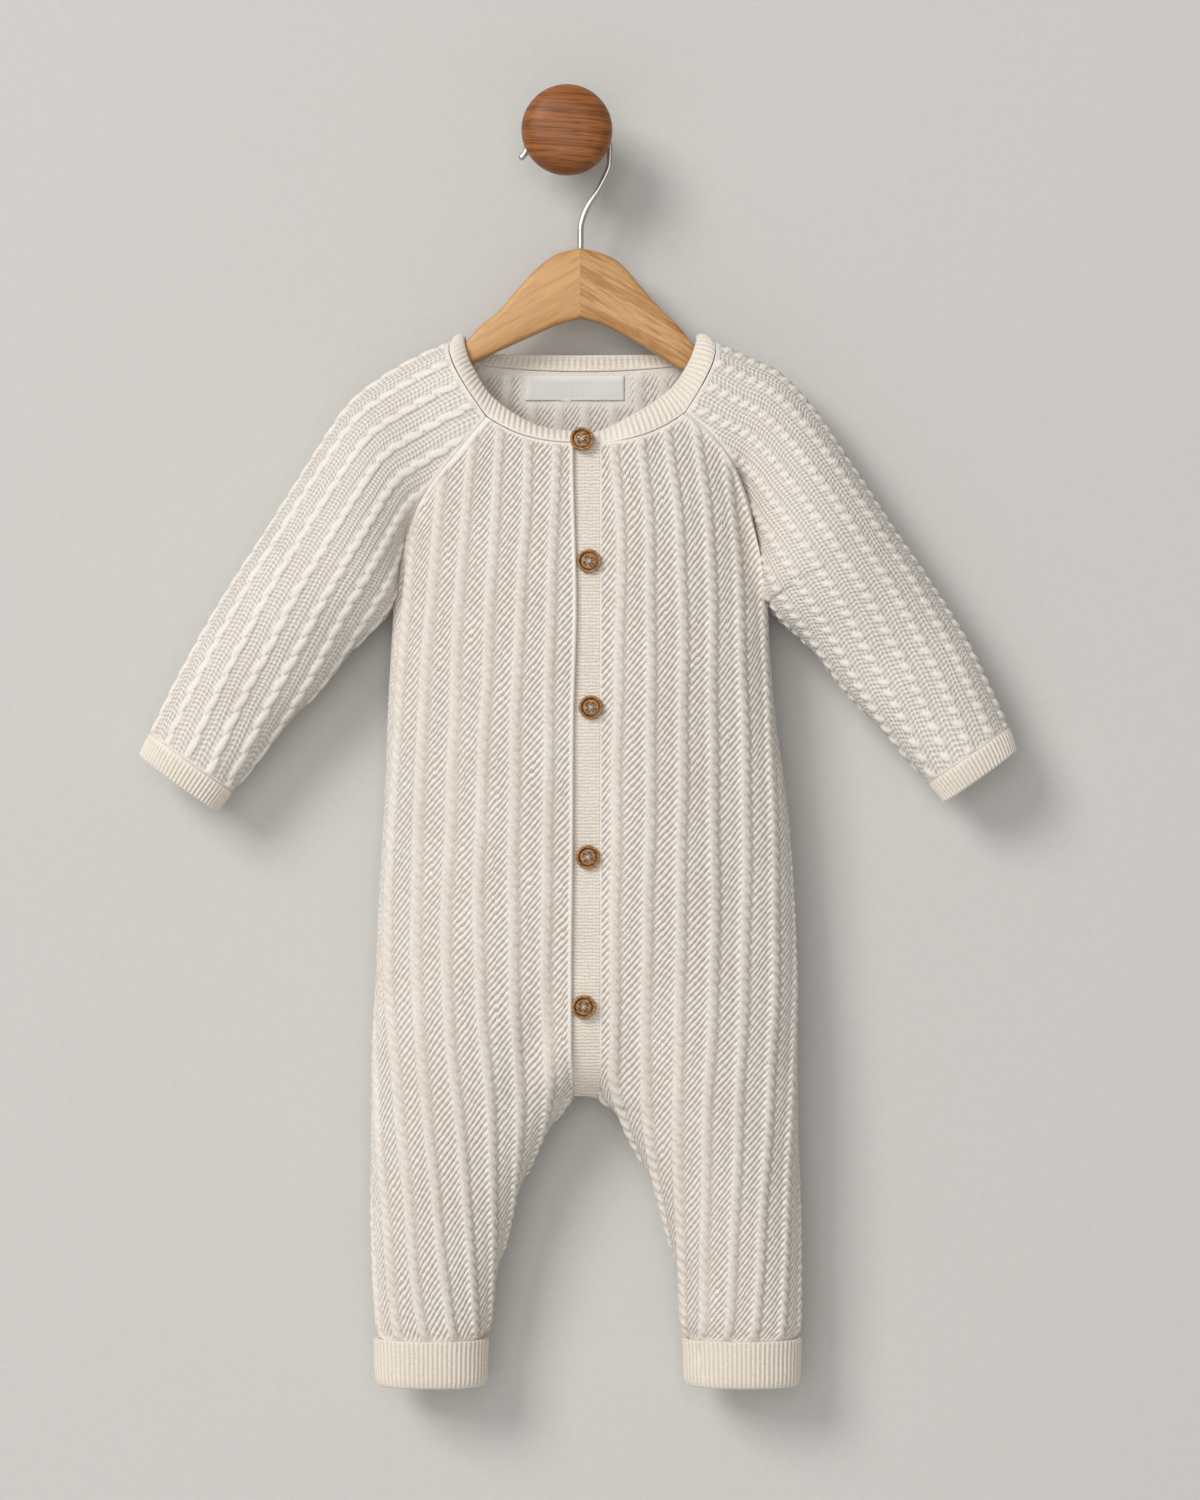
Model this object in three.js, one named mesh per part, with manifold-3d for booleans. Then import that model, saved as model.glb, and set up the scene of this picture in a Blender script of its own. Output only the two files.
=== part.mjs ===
// Knitted baby romper on a small wooden hanger, hung from a round wall knob.
// Millimetres, +Z up. The wall is the plane y = 0, and the garment hangs in front of it, towards -Y.
// The origin is the middle of the knob's back face. Panels are named for the side that a viewer sees.
import * as THREE from 'three';
import { mergeVertices } from 'three/addons/utils/BufferGeometryUtils.js';
import Module from 'manifold-3d';

const wasm = await Module();
wasm.setup();

// Driving dimensions
const GAP = 0.3; // between sewn pieces
const CLOTH = { wall: 2, ridge: 1.6, ridgeHalf: 0.17, fade: 5 };
const RIB = { wall: 2, height: 0.6, neckPitch: 2.9, cuffPitch: 2.1 };
const ROMPER = { x: 7.7, z: -96 }; // its centre line and its neck point, from the knob's middle
const SIDE_DEPTH = 29; // how far the side seams hang from the wall
const SHOULDER_DEPTH = 26; // the hanger's middle plane
const CROTCH = { drop: 366.7, groove: 40 };
const ARMPIT_DROP = 129;
const LEG_END = 492;
const LAP = { depth: 2.45, width: 18, under: 10, from: 320, flush: 341 }; // the button band lies lower than the left front
const BAND = { left: -4.3, right: 8 }; // from the centre line
const BUTTON = { radius: 6, thick: 2.6, segments: 12, holeRadius: 0.75, holeOffset: 1.35 };
const KNOB = { radius: 22, stemRadius: 10, stem: 29, depth: 53 };
const WIRE = { radius: 1.6, loop: 21, loopX: -0.3, loopZ: -9, shankX: 6.4 };
const HANGER = { x: -1.4, corner: 0.36 };
const LABEL = { left: -28, right: 20, top: 19, bottom: 31, thick: 1 };

const COLOURS = { knit: 0xeee7da, rib: 0xe9dfcd, wood: 0xc08a50, wire: 0xd9d8d4, button: 0xa06a35, label: 0xe6e3e4 };

// Body outline: drop below the neck point, half widths, distances of front and back from the wall,
// and where the fourth cable ridge runs each side with the ridges' spacing.
const BODY = [
  { drop: 0, left: 86, right: 84, front: 36, back: 16, ridgeLeft: 49, ridgeRight: 50, pitch: 12.6 },
  { drop: 20, left: 88, right: 85, front: 44, back: 10.5, ridgeLeft: 50, ridgeRight: 51, pitch: 12.8 },
  { drop: 54, left: 90, right: 87, front: 53, back: 7, ridgeLeft: 53, ridgeRight: 54, pitch: 13.4 },
  { drop: 90, left: 91, right: 88, front: 57.5, back: 5.5, ridgeLeft: 56, ridgeRight: 59, pitch: 14.2 },
  { drop: 129, left: 91, right: 88.5, front: 60, back: 5, ridgeLeft: 59, ridgeRight: 61, pitch: 14.8 },
  { drop: 176, left: 93.5, right: 91.5, front: 61, back: 5, ridgeLeft: 61.5, ridgeRight: 61.5, pitch: 15.3 },
  { drop: 224, left: 95.3, right: 97.5, front: 61, back: 5, ridgeLeft: 63.5, ridgeRight: 61.8, pitch: 15.7 },
  { drop: 272, left: 98.2, right: 100.6, front: 60.5, back: 5, ridgeLeft: 65.3, ridgeRight: 61.8, pitch: 16 },
  { drop: 320, left: 99.8, right: 102.5, front: 59, back: 5.5, ridgeLeft: 64.5, ridgeRight: 61, pitch: 15.7 },
  { drop: 366.7, left: 101.7, right: 103.2, front: 56, back: 6.5, ridgeLeft: 60, ridgeRight: 59, pitch: 15 },
  { drop: 416, left: 101.7, right: 103.6, front: 52, back: 8, ridgeLeft: 56, ridgeRight: 58, pitch: 13.9 },
  { drop: 464, left: 100.3, right: 104.2, front: 49, back: 9.5, ridgeLeft: 52.5, ridgeRight: 57, pitch: 13.4 },
  { drop: 476, left: 99.3, right: 104, front: 48, back: 10.5, ridgeLeft: 51.5, ridgeRight: 56.5, pitch: 13.3 },
  { drop: 484, left: 97.2, right: 101.6, front: 45.5, back: 12.5, ridgeLeft: 51, ridgeRight: 56, pitch: 13.2 },
  { drop: 506, left: 96.8, right: 101.4, front: 45, back: 13, ridgeLeft: 51, ridgeRight: 56, pitch: 13.2 },
];

// The arch between the legs: x of each leg's inner edge
const LEGS = [
  { drop: 366.7, left: -4.9, right: 8.3 },
  { drop: 369, left: -7, right: 10.4 },
  { drop: 373.4, left: -10.6, right: 14.6 },
  { drop: 382.6, left: -16.4, right: 20.2 },
  { drop: 394.6, left: -23.5, right: 26.9 },
  { drop: 416, left: -32, right: 36 },
  { drop: 447, left: -40.3, right: 44.2 },
  { drop: 474, left: -45, right: 47.4 },
  { drop: 484, left: -48.6, right: 51 },
  { drop: 506, left: -49, right: 51.4 },
];

// Raglan sleeves: v is 0 at the neckband, 1 at the armpit, 2 at the cuff's top and 3 at its end.
// front and back are the seams' points, top the shoulder line, under the underarm line; depth is across y.
const SLEEVE = {
  left: [
    { v: 0, frontX: 46, frontDrop: 41, backX: 50, backDrop: 14, topX: 63, topDrop: 3.5, depth: 30 },
    { v: 0.2, frontX: 60, frontDrop: 58, backX: 61, backDrop: 30, topX: 80, topDrop: 11, depth: 34 },
    { v: 0.4, frontX: 71.5, frontDrop: 72, backX: 71, backDrop: 50, topX: 97, topDrop: 21, depth: 38 },
    { v: 0.6, frontX: 80, frontDrop: 86, backX: 79, backDrop: 72, topX: 113, topDrop: 34.5, depth: 42 },
    { v: 0.8, frontX: 86.5, frontDrop: 104, backX: 86, backDrop: 98, topX: 130, topDrop: 60, depth: 45 },
    { v: 1, frontX: 91, frontDrop: 129, backX: 91, backDrop: 129, topX: 150, topDrop: 92, depth: 47 },
    { v: 1.3, frontX: 109, frontDrop: 150, backX: 109, backDrop: 150, topX: 166.5, topDrop: 117, depth: 46 },
    { v: 1.6, frontX: 128, frontDrop: 172.3, backX: 128, backDrop: 172.3, topX: 182, topDrop: 142, depth: 43 },
    { v: 1.85, frontX: 147.5, frontDrop: 194, backX: 147.5, backDrop: 194, topX: 197, topDrop: 169.5, depth: 39 },
    { v: 2, frontX: 168, frontDrop: 219.5, backX: 168, backDrop: 219.5, topX: 207.6, topDrop: 191.5, depth: 35 },
    { v: 3, frontX: 176, frontDrop: 229.6, backX: 176, backDrop: 229.6, topX: 213, topDrop: 203, depth: 31 },
  ],
  right: [
    { v: 0, frontX: 49, frontDrop: 39, backX: 50, backDrop: 14, topX: 62, topDrop: 3.5, depth: 30 },
    { v: 0.2, frontX: 62, frontDrop: 50, backX: 60, backDrop: 30, topX: 79, topDrop: 11, depth: 34 },
    { v: 0.4, frontX: 71, frontDrop: 62, backX: 69, backDrop: 50, topX: 95.5, topDrop: 19.5, depth: 38 },
    { v: 0.6, frontX: 77.5, frontDrop: 78, backX: 77, backDrop: 72, topX: 112, topDrop: 37.5, depth: 42 },
    { v: 0.8, frontX: 83, frontDrop: 99, backX: 83, backDrop: 98, topX: 129, topDrop: 63, depth: 45 },
    { v: 1, frontX: 88.5, frontDrop: 129, backX: 88.5, backDrop: 129, topX: 148, topDrop: 92, depth: 47 },
    { v: 1.3, frontX: 107, frontDrop: 149, backX: 107, backDrop: 149, topX: 166, topDrop: 118, depth: 46 },
    { v: 1.6, frontX: 128, frontDrop: 174, backX: 128, backDrop: 174, topX: 183, topDrop: 144.5, depth: 43 },
    { v: 1.85, frontX: 149, frontDrop: 197, backX: 149, backDrop: 197, topX: 196.5, topDrop: 171.5, depth: 39 },
    { v: 2, frontX: 165.5, frontDrop: 215.5, backX: 165.5, backDrop: 215.5, topX: 204, topDrop: 188.5, depth: 35 },
    { v: 3, frontX: 174, frontDrop: 225.1, backX: 174, backDrop: 225.1, topX: 208, topDrop: 200.6, depth: 31 },
  ],
};
const SLEEVE_PITCH = 12.6;
const NECK_BOW = 4; // how far the neck seam bows out beside the chord from its corner to the shoulder
const ARMHOLE_INSET = { front: 6, back: 2.5 }; // the sleeve's fullness is the body's this far in from the seam

// Soft troughs: x and drop of the middle, half sizes across and down, lean in x per drop, and depth
const FOLDS = [
  { face: 'front', x: 80, drop: 92, across: 7, down: 30, lean: 0.2, depth: 6 },
  { face: 'front', x: -86, drop: 112, across: 6, down: 22, lean: -0.15, depth: 3.5 },
  { face: 'front', x: -66, drop: 200, across: 13, down: 70, lean: -0.1, depth: 2 },
  { face: 'front', x: 70, drop: 250, across: 12, down: 90, lean: 0.08, depth: 2.2 },
  { face: 'front', x: -24, drop: 345, across: 11, down: 38, lean: -0.35, depth: 2.2 },
  { face: 'front', x: 32, drop: 352, across: 12, down: 42, lean: 0.3, depth: 2 },
  { face: 'back', x: -40, drop: 230, across: 16, down: 80, lean: -0.05, depth: 1.6 },
  { face: 'back', x: 36, drop: 190, across: 15, down: 85, lean: 0.1, depth: 1.8 },
  { face: 'back', x: 4, drop: 330, across: 12, down: 40, lean: 0, depth: 1.4 },
];
// The same on the sleeves: v and side (0 front seam to 1 back seam) of the middle, half sizes, and depth
const SLEEVE_FOLDS = [
  { side: 'left', v: 1.12, q: 0.12, length: 0.28, across: 0.05, depth: 2.6 },
  { side: 'left', v: 1.75, q: 0.2, length: 0.2, across: 0.06, depth: 1.5 },
  { side: 'right', v: 1.1, q: 0.14, length: 0.25, across: 0.06, depth: 2.4 },
  { side: 'right', v: 1.6, q: 0.24, length: 0.22, across: 0.07, depth: 1.5 },
  { side: 'left', v: 1.4, q: 0.8, length: 0.3, across: 0.07, depth: 1.6 },
  { side: 'right', v: 1.35, q: 0.78, length: 0.3, across: 0.07, depth: 1.6 },
];

// Each button's middle, and how far it sinks beside the cloth's edge from a flat rest on it
const BUTTONS = [
  { x: -0.5, drop: 52.8, sink: 1.6 },
  { x: 2.9, drop: 110.6, sink: 2.7 },
  { x: 3.8, drop: 180, sink: 0 },
  { x: 2.4, drop: 251, sink: 0 },
  { x: 0.4, drop: 322, sink: 0.9 },
];

// The neckband's upper edge each side: p is 0 at the front, 1 at the front raglan seam,
// 2 on the shoulder, 3 at the back raglan seam and 4 at the back
const NECK_EDGE = {
  left: [
    { p: 0, x: 0, drop: 48.4, y: 46.5 },
    { p: 0.5, x: 22.5, drop: 44.6, y: 45 },
    { p: 1, x: 42.5, drop: 31.6, y: 41 },
    { p: 1.5, x: 53, drop: 15.5, y: 36.5 },
    { p: 1.75, x: 56.4, drop: 6.2, y: 33.6 },
    { p: 2, x: 57.6, drop: 0.2, y: 26 },
    { p: 2.25, x: 56.4, drop: 4, y: 18 },
    { p: 2.5, x: 53.5, drop: 7, y: 15 },
    { p: 3, x: 45, drop: 9, y: 13 },
    { p: 3.5, x: 24, drop: 9.3, y: 11.5 },
    { p: 4, x: 0, drop: 9.4, y: 11 },
  ],
  right: [
    { p: 0, x: 0, drop: 48.4, y: 46.5 },
    { p: 0.5, x: 21.5, drop: 40.8, y: 45 },
    { p: 1, x: 40.5, drop: 28, y: 41 },
    { p: 1.5, x: 49.5, drop: 15.5, y: 36.5 },
    { p: 1.75, x: 53.4, drop: 6.2, y: 33.6 },
    { p: 2, x: 54.8, drop: 0.2, y: 26 },
    { p: 2.25, x: 54, drop: 4, y: 18 },
    { p: 2.5, x: 51.5, drop: 7, y: 15 },
    { p: 3, x: 44, drop: 9, y: 13 },
    { p: 3.5, x: 24, drop: 9.3, y: 11.5 },
    { p: 4, x: 0, drop: 9.4, y: 11 },
  ],
};

// Hanger arms from the middle out: drop of the upper and lower edges
const ARMS = {
  left: [
    { x: 0, top: -41, bottom: -7.3, thick: 11 },
    { x: 11.5, top: -38, bottom: -4, thick: 11 },
    { x: 20.5, top: -31.5, bottom: 0, thick: 11 },
    { x: 30, top: -21.5, bottom: 4.2, thick: 11 },
    { x: 39, top: -11, bottom: 8.4, thick: 11 },
    { x: 49.4, top: -2.2, bottom: 13.4, thick: 10.6 },
    { x: 56.4, top: 6, bottom: 17, thick: 8.8 },
    { x: 63, top: 10.2, bottom: 19.8, thick: 8.4 },
    { x: 80, top: 18, bottom: 28, thick: 8 },
    { x: 97, top: 28.6, bottom: 38, thick: 8 },
    { x: 103, top: 33.6, bottom: 41.6, thick: 7.4 },
    { x: 106, top: 37.4, bottom: 41.4, thick: 5 },
  ],
  right: [
    { x: 0, top: -41, bottom: -7.3, thick: 11 },
    { x: 11.5, top: -38, bottom: -4.2, thick: 11 },
    { x: 20.5, top: -32.5, bottom: 0.6, thick: 11 },
    { x: 30, top: -21.5, bottom: 6, thick: 11 },
    { x: 39, top: -11.5, bottom: 11.6, thick: 11 },
    { x: 48, top: -2.6, bottom: 17.4, thick: 10.6 },
    { x: 55, top: 6, bottom: 19.6, thick: 8.8 },
    { x: 62, top: 9.8, bottom: 22.4, thick: 8.4 },
    { x: 79, top: 17.8, bottom: 30, thick: 8 },
    { x: 96, top: 28.2, bottom: 38.6, thick: 8 },
    { x: 102, top: 33, bottom: 41.8, thick: 7.4 },
    { x: 105, top: 37, bottom: 41.4, thick: 5 },
  ],
};

// The wire hook's middle line after its loop: x and drop below the knob's middle
const SHANK = [
  { x: 20.6, drop: 12 },
  { x: 19.9, drop: 17 },
  { x: 15.8, drop: 25.5 },
  { x: 9.8, drop: 35 },
  { x: 6.8, drop: 43 },
  { x: 6.4, drop: 50 },
  { x: 6.4, drop: 66 },
];

// Where the body's rows and the sleeves' rings lie
const NECK_STATION = 0.003;
const RAGLAN_STATIONS = [NECK_STATION, 0.1, 0.22, 0.39, 0.58, 0.76, 0.88, 0.95, 1];
const TORSO_DROPS = [142, 170, 205, 245, 285, 320, 341, 354, 361.5, 365];
const LEG_DROPS = [368.6, 372.5, 380, 393, 418, 448, 470, 478, 484, LEG_END];
const SLEEVE_STATIONS = [1.08, 1.22, 1.4, 1.62, 1.85, 2];

const clamp01 = (value) => Math.min(1, Math.max(0, value));
const mix = (a, b, f) => a + (b - a) * f;
const smooth = (value) => clamp01(value) ** 2 * (3 - 2 * clamp01(value));

// A smooth curve through a table's rows: returns the row's values at any place along the key
function track(rows, key) {
  const names = Object.keys(rows[0]).filter((name) => typeof rows[0][name] === 'number');
  const slope = (name, i) => {
    const a = rows[Math.max(0, i - 1)];
    const b = rows[Math.min(rows.length - 1, i + 1)];
    return (b[name] - a[name]) / (b[key] - a[key]);
  };
  return (place) => {
    const at = Math.min(rows[rows.length - 1][key], Math.max(rows[0][key], place));
    let i = 0;
    while (i < rows.length - 2 && at > rows[i + 1][key]) i += 1;
    const span = rows[i + 1][key] - rows[i][key];
    const f = (at - rows[i][key]) / span;
    const found = {};
    for (const name of names) {
      const rise = (f * (1 - f) ** 2 * slope(name, i) - f ** 2 * (1 - f) * slope(name, i + 1)) * span;
      found[name] = mix(rows[i][name], rows[i + 1][name], f * f * (3 - 2 * f)) + rise;
    }
    return found;
  };
}

const bodyAt = track(BODY, 'drop');
const legsAt = track(LEGS, 'drop');
const sleeveAt = { left: track(SLEEVE.left, 'v'), right: track(SLEEVE.right, 'v') };
const signOf = { left: -1, right: 1 };
const CROTCH_MIDDLE = (LEGS[0].left + LEGS[0].right) / 2;

// A line of points with the length to each, so that a point is found by its length along the cloth
function measured(points) {
  const lengths = [0];
  for (let i = 1; i < points.length; i += 1) {
    lengths.push(lengths[i - 1] + points[i].distanceTo(points[i - 1]));
  }
  return { points, lengths, total: lengths[lengths.length - 1] };
}

function pointAlong(line, length) {
  const at = Math.min(line.total, Math.max(0, length));
  let i = 0;
  while (i < line.points.length - 2 && at > line.lengths[i + 1]) i += 1;
  const f = (at - line.lengths[i]) / Math.max(1e-9, line.lengths[i + 1] - line.lengths[i]);
  return line.points[i].clone().lerp(line.points[i + 1], f);
}

function lengthAtX(line, x) {
  const sign = Math.sign(line.points[line.points.length - 1].x - line.points[0].x);
  let i = 0;
  while (i < line.points.length - 2 && (x - line.points[i + 1].x) * sign > 0) i += 1;
  const f = clamp01((x - line.points[i].x) / (line.points[i + 1].x - line.points[i].x));
  return mix(line.lengths[i], line.lengths[i + 1], f);
}

function foldDepth(face, x, drop) {
  let depth = 0;
  for (const fold of FOLDS) {
    const away = (x - fold.x - fold.lean * (drop - fold.drop)) / fold.across;
    const along = (drop - fold.drop) / fold.down;
    if (fold.face === face) depth += fold.depth * Math.exp(-away * away - along * along);
  }
  return depth;
}

// One quarter of the body's section at a drop, from the side seam to the middle or the inner leg
const SECTION_STEPS = 64;
const sections = new Map();
function section(face, side, drop) {
  const name = `${face} ${side} ${drop.toFixed(3)}`;
  if (sections.has(name)) return sections.get(name);
  const row = bodyAt(drop);
  const outer = signOf[side] * row[side];
  const inLegs = drop > CROTCH.drop + 1e-3;
  const towardsCrotch = clamp01((drop - (CROTCH.drop - CROTCH.groove)) / CROTCH.groove);
  const split = inLegs ? 1 : 1 - Math.sqrt(1 - towardsCrotch ** 2);
  const legInner = legsAt(drop)[side];
  const inner = inLegs ? legInner : CROTCH_MIDDLE * smooth(towardsCrotch);
  const points = [];
  for (let i = 0; i <= SECTION_STEPS; i += 1) {
    const share = (1 - Math.cos((Math.PI * i) / SECTION_STEPS)) / 2;
    const x = mix(outer, inner, share);
    const legShare = clamp01((x - outer) / (legInner - outer));
    const torso = Math.sqrt(Math.max(0, 1 - (1 - share) ** 2.5));
    const leg = Math.sqrt(Math.max(0, 1 - Math.abs(2 * legShare - 1) ** 2.3));
    const thigh = mix(smooth((drop - 270) / 96.7), split, smooth((legShare - 0.6) / 0.38));
    const fullness = mix(torso, leg, thigh);
    const folds = foldDepth(face, x, drop) * (face === 'front' ? 1 : -1) * Math.min(1, fullness * 1.5);
    points.push(new THREE.Vector3(x, -mix(SIDE_DEPTH, row[face], fullness) + folds, -drop));
  }
  const line = measured(points);
  line.ridgeLength = lengthAtX(line, side === 'left' ? -row.ridgeLeft : row.ridgeRight);
  line.pitch = row.pitch;
  sections.set(name, line);
  return line;
}

// The ridge whose x the body's table gives, counted from the middle
const RIDGE_NUMBER = 4;

function bodyNormal(face, side, drop, length) {
  const line = section(face, side, drop);
  const share = length / line.total;
  const across = pointAlong(line, length + 1).sub(pointAlong(line, length - 1));
  const inLegs = drop > CROTCH.drop + 1e-3;
  const upper = inLegs ? Math.max(drop - 1, CROTCH.drop + 0.01) : drop - 1;
  const lower = inLegs ? drop + 1 : Math.min(drop + 1, CROTCH.drop);
  const above = section(face, side, upper);
  const below = section(face, side, lower);
  const down = pointAlong(below, share * below.total).sub(pointAlong(above, share * above.total));
  return across.cross(down).normalize().multiplyScalar(signOf[side] * (face === 'front' ? 1 : -1));
}

// Side seams and inseams face sideways, and front and back share that direction
function edgeNormal(side, drop, inner = false) {
  if (inner && drop < CROTCH.drop + 0.5) return new THREE.Vector3(0, 0, -1);
  const edge = (d) => (inner ? legsAt(d)[side] : signOf[side] * bodyAt(d)[side]);
  const slope = edge(drop + 1) - edge(Math.max(drop - 1, inner ? CROTCH.drop : 0));
  const out = (inner ? -1 : 1) * signOf[side];
  return new THREE.Vector3(2 * out, 0, out * slope).normalize();
}

// A sleeve's ring at v, from the front seam over the shoulder line to the back seam
const RING_STEPS = 72;
const rings = new Map();
function ring(side, v) {
  const name = `${side} ${v.toFixed(5)}`;
  if (rings.has(name)) return rings.get(name);
  const row = sleeveAt[side](v);
  const sign = signOf[side];
  const closing = v >= 1 ? 1 : smooth(v);
  const middle = mix(SHOULDER_DEPTH, SIDE_DEPTH, clamp01(v));
  const top = new THREE.Vector3(sign * row.topX, -middle, -row.topDrop);
  const seam = (face) => {
    if (v >= 1) return new THREE.Vector3(sign * row.frontX, -SIDE_DEPTH, -row.frontDrop);
    const x = sign * row[`${face}X`];
    const line = section(face, side, row[`${face}Drop`]);
    return pointAlong(line, lengthAtX(line, x));
  };
  const fullness = (face) => {
    const armhole = sleeveAt[side](Math.min(v, 1));
    const line = section(face, side, armhole[`${face}Drop`]);
    const { y } = pointAlong(line, lengthAtX(line, sign * (armhole[`${face}X`] - ARMHOLE_INSET[face])));
    return mix(y, -SIDE_DEPTH, smooth((v - 1) / 0.6));
  };
  const half = (face) => {
    const start = seam(face);
    const full = fullness(face);
    const bulge = (face === 'front' ? -1 : 1) * (row.depth / 2);
    const bowing = NECK_BOW * (1 - smooth(v * 2)) * (face === 'front' ? 1 : 0.4);
    const chord = new THREE.Vector3(top.x - start.x, 0, top.z - start.z).normalize();
    const outward = new THREE.Vector3(chord.z * sign, 0, -chord.x * sign);
    const points = [];
    for (let i = 0; i <= RING_STEPS / 2; i += 1) {
      const r = (2 * i) / RING_STEPS;
      const quarter = (Math.PI * r) / 2;
      const along = mix(Math.sin(quarter), (1 - Math.cos(Math.PI * r)) / 2, closing);
      const open = mix(start.y, top.y, 1 - Math.cos(quarter));
      const round = mix(full, top.y, r) + (start.y - full) * (1 - r) ** 5 + bulge * Math.sin(Math.PI * r);
      const point = new THREE.Vector3(mix(start.x, top.x, along), mix(open, round, closing), mix(start.z, top.z, along));
      points.push(point.addScaledVector(outward, bowing * Math.sin(Math.PI * r)));
    }
    return points;
  };
  const points = [...half('front'), ...half('back').reverse().slice(1)];
  const centre = points.reduce((sum, point) => sum.add(point), new THREE.Vector3()).divideScalar(points.length);
  for (const fold of SLEEVE_FOLDS.filter((found) => found.side === side)) {
    points.forEach((point, i) => {
      const away = (i / RING_STEPS - fold.q) / fold.across;
      const along = (v - fold.v) / fold.length;
      const depth = fold.depth * Math.exp(-away * away - along * along) * Math.sin((Math.PI * i) / RING_STEPS);
      point.addScaledVector(centre.clone().sub(point).normalize(), depth);
    });
  }
  const line = measured(points);
  line.topLength = line.lengths[RING_STEPS / 2];
  rings.set(name, line);
  return line;
}

function ringNormal(side, v, length) {
  const line = ring(side, v);
  const share = length / line.total;
  const step = 0.02;
  const wrap = (at) => (v >= 1 ? (at + line.total) % line.total : at);
  const around = pointAlong(line, wrap(length + 1)).sub(pointAlong(line, wrap(length - 1)));
  const upper = ring(side, Math.max(v >= 1 ? 1 : 0, v - step));
  const lower = ring(side, Math.min(v >= 1 ? 3 : 1, v + step));
  const along = pointAlong(lower, share * lower.total).sub(pointAlong(upper, share * upper.total));
  return around.cross(along).normalize().multiplyScalar(-signOf[side]);
}

// The seam between body and sleeve: both pieces share its direction
function raglanNormal(face, side, v) {
  const row = sleeveAt[side](v);
  if (v >= 1) return edgeNormal(side, row.frontDrop).add(ringNormal(side, 1, 0)).setY(0).normalize();
  const line = section(face, side, row[`${face}Drop`]);
  const body = bodyNormal(face, side, row[`${face}Drop`], lengthAtX(line, signOf[side] * row[`${face}X`]));
  const sleeve = ringNormal(side, v, face === 'front' ? 0 : ring(side, v).total);
  return body.add(sleeve).normalize();
}

// Above the armpits the body's rows bend down towards the neckline's middle
const NECK = { front: { middle: 53.8, curve: 2.6 }, back: { middle: 17, curve: 2 } };
const NECK_REACH = 0.6;
function rowDrop(face, side, v, x) {
  const row = sleeveAt[side](v);
  const corner = sleeveAt[side](0);
  const dip = (NECK[face].middle - corner[`${face}Drop`]) * (1 - smooth(v / NECK_REACH));
  const share = clamp01(Math.abs(x) / row[`${face}X`]);
  return row[`${face}Drop`] + dip * (1 - share ** NECK[face].curve);
}

const lapAt = (x, drop) => LAP.depth * (1 - smooth((x - BAND.right) / LAP.width)) * (1 - smooth((drop - LAP.flush) / 22));

// Samples of cloth along a body row: t counts ridges from the middle, growing to the viewer's right
const ROW_SAMPLES = 44;
function bodySamples({ face, side, drop, dropAt, from, to, ends = [], trims = [GAP / 2, GAP / 2] }) {
  const sign = signOf[side];
  const base = section(face, side, drop);
  const start = (from === undefined ? 0 : lengthAtX(base, from)) + trims[0];
  const end = (to === undefined ? base.total : lengthAtX(base, to)) - trims[1];
  const samples = [];
  for (let i = 0; i <= ROW_SAMPLES; i += 1) {
    const length = mix(start, end, i / ROW_SAMPLES);
    const x = pointAlong(base, length).x;
    const place = dropAt ? dropAt(x) : drop;
    const line = dropAt ? section(face, side, place) : base;
    const here = dropAt ? lengthAtX(line, x) : length;
    const last = i === ROW_SAMPLES;
    const normal = (i === 0 && ends[0]) || (last && ends[1]) || bodyNormal(face, side, place, here);
    const lap = face === 'front' && side === 'right' ? lapAt(x, place) : 0;
    samples.push({
      t: sign * (RIDGE_NUMBER + (line.ridgeLength - here) / line.pitch),
      point: pointAlong(line, here).addScaledVector(normal, -lap),
      normal,
      edge: Math.min(length - start, end - length),
    });
  }
  return side === 'left' ? samples : samples.reverse();
}

function ringSamples(side, v) {
  const line = ring(side, v);
  const trim = v < 1 ? GAP / 2 : 0;
  const samples = [];
  const steps = RING_STEPS;
  for (let i = 0; i <= steps; i += 1) {
    const length = mix(trim, line.total - trim, i / steps);
    const atEnd = i === 0 || i === steps;
    let normal = ringNormal(side, v, atEnd ? 0 : length);
    if (atEnd && v <= 1) normal = raglanNormal(i === 0 ? 'front' : 'back', side, v);
    const point = pointAlong(line, length);
    if (atEnd && v === 1) point.add(new THREE.Vector3(signOf[side] * 0.3, 0, 0.11));
    samples.push({
      t: (length - line.topLength) / SLEEVE_PITCH,
      point,
      normal,
      edge: atEnd ? 0 : v < 1.1 ? Math.min(length, line.total - length) : 9,
    });
  }
  return samples;
}

function pick(samples, t) {
  let i = 0;
  while (i < samples.length - 2 && t > samples[i + 1].t) i += 1;
  const [a, b] = [samples[i], samples[i + 1]];
  const f = clamp01((t - a.t) / (b.t - a.t));
  return {
    t,
    point: a.point.clone().lerp(b.point, f),
    normal: a.normal.clone().lerp(b.normal, f).normalize(),
    edge: mix(a.edge, b.edge, f),
  };
}

// Front and back keep to their own side of the side seams' plane
const keepers = {
  front: (point) => point.setY(Math.min(point.y, -SIDE_DEPTH - GAP / 2)),
  back: (point) => point.setY(Math.max(point.y, -SIDE_DEPTH + GAP / 2)),
};

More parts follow.
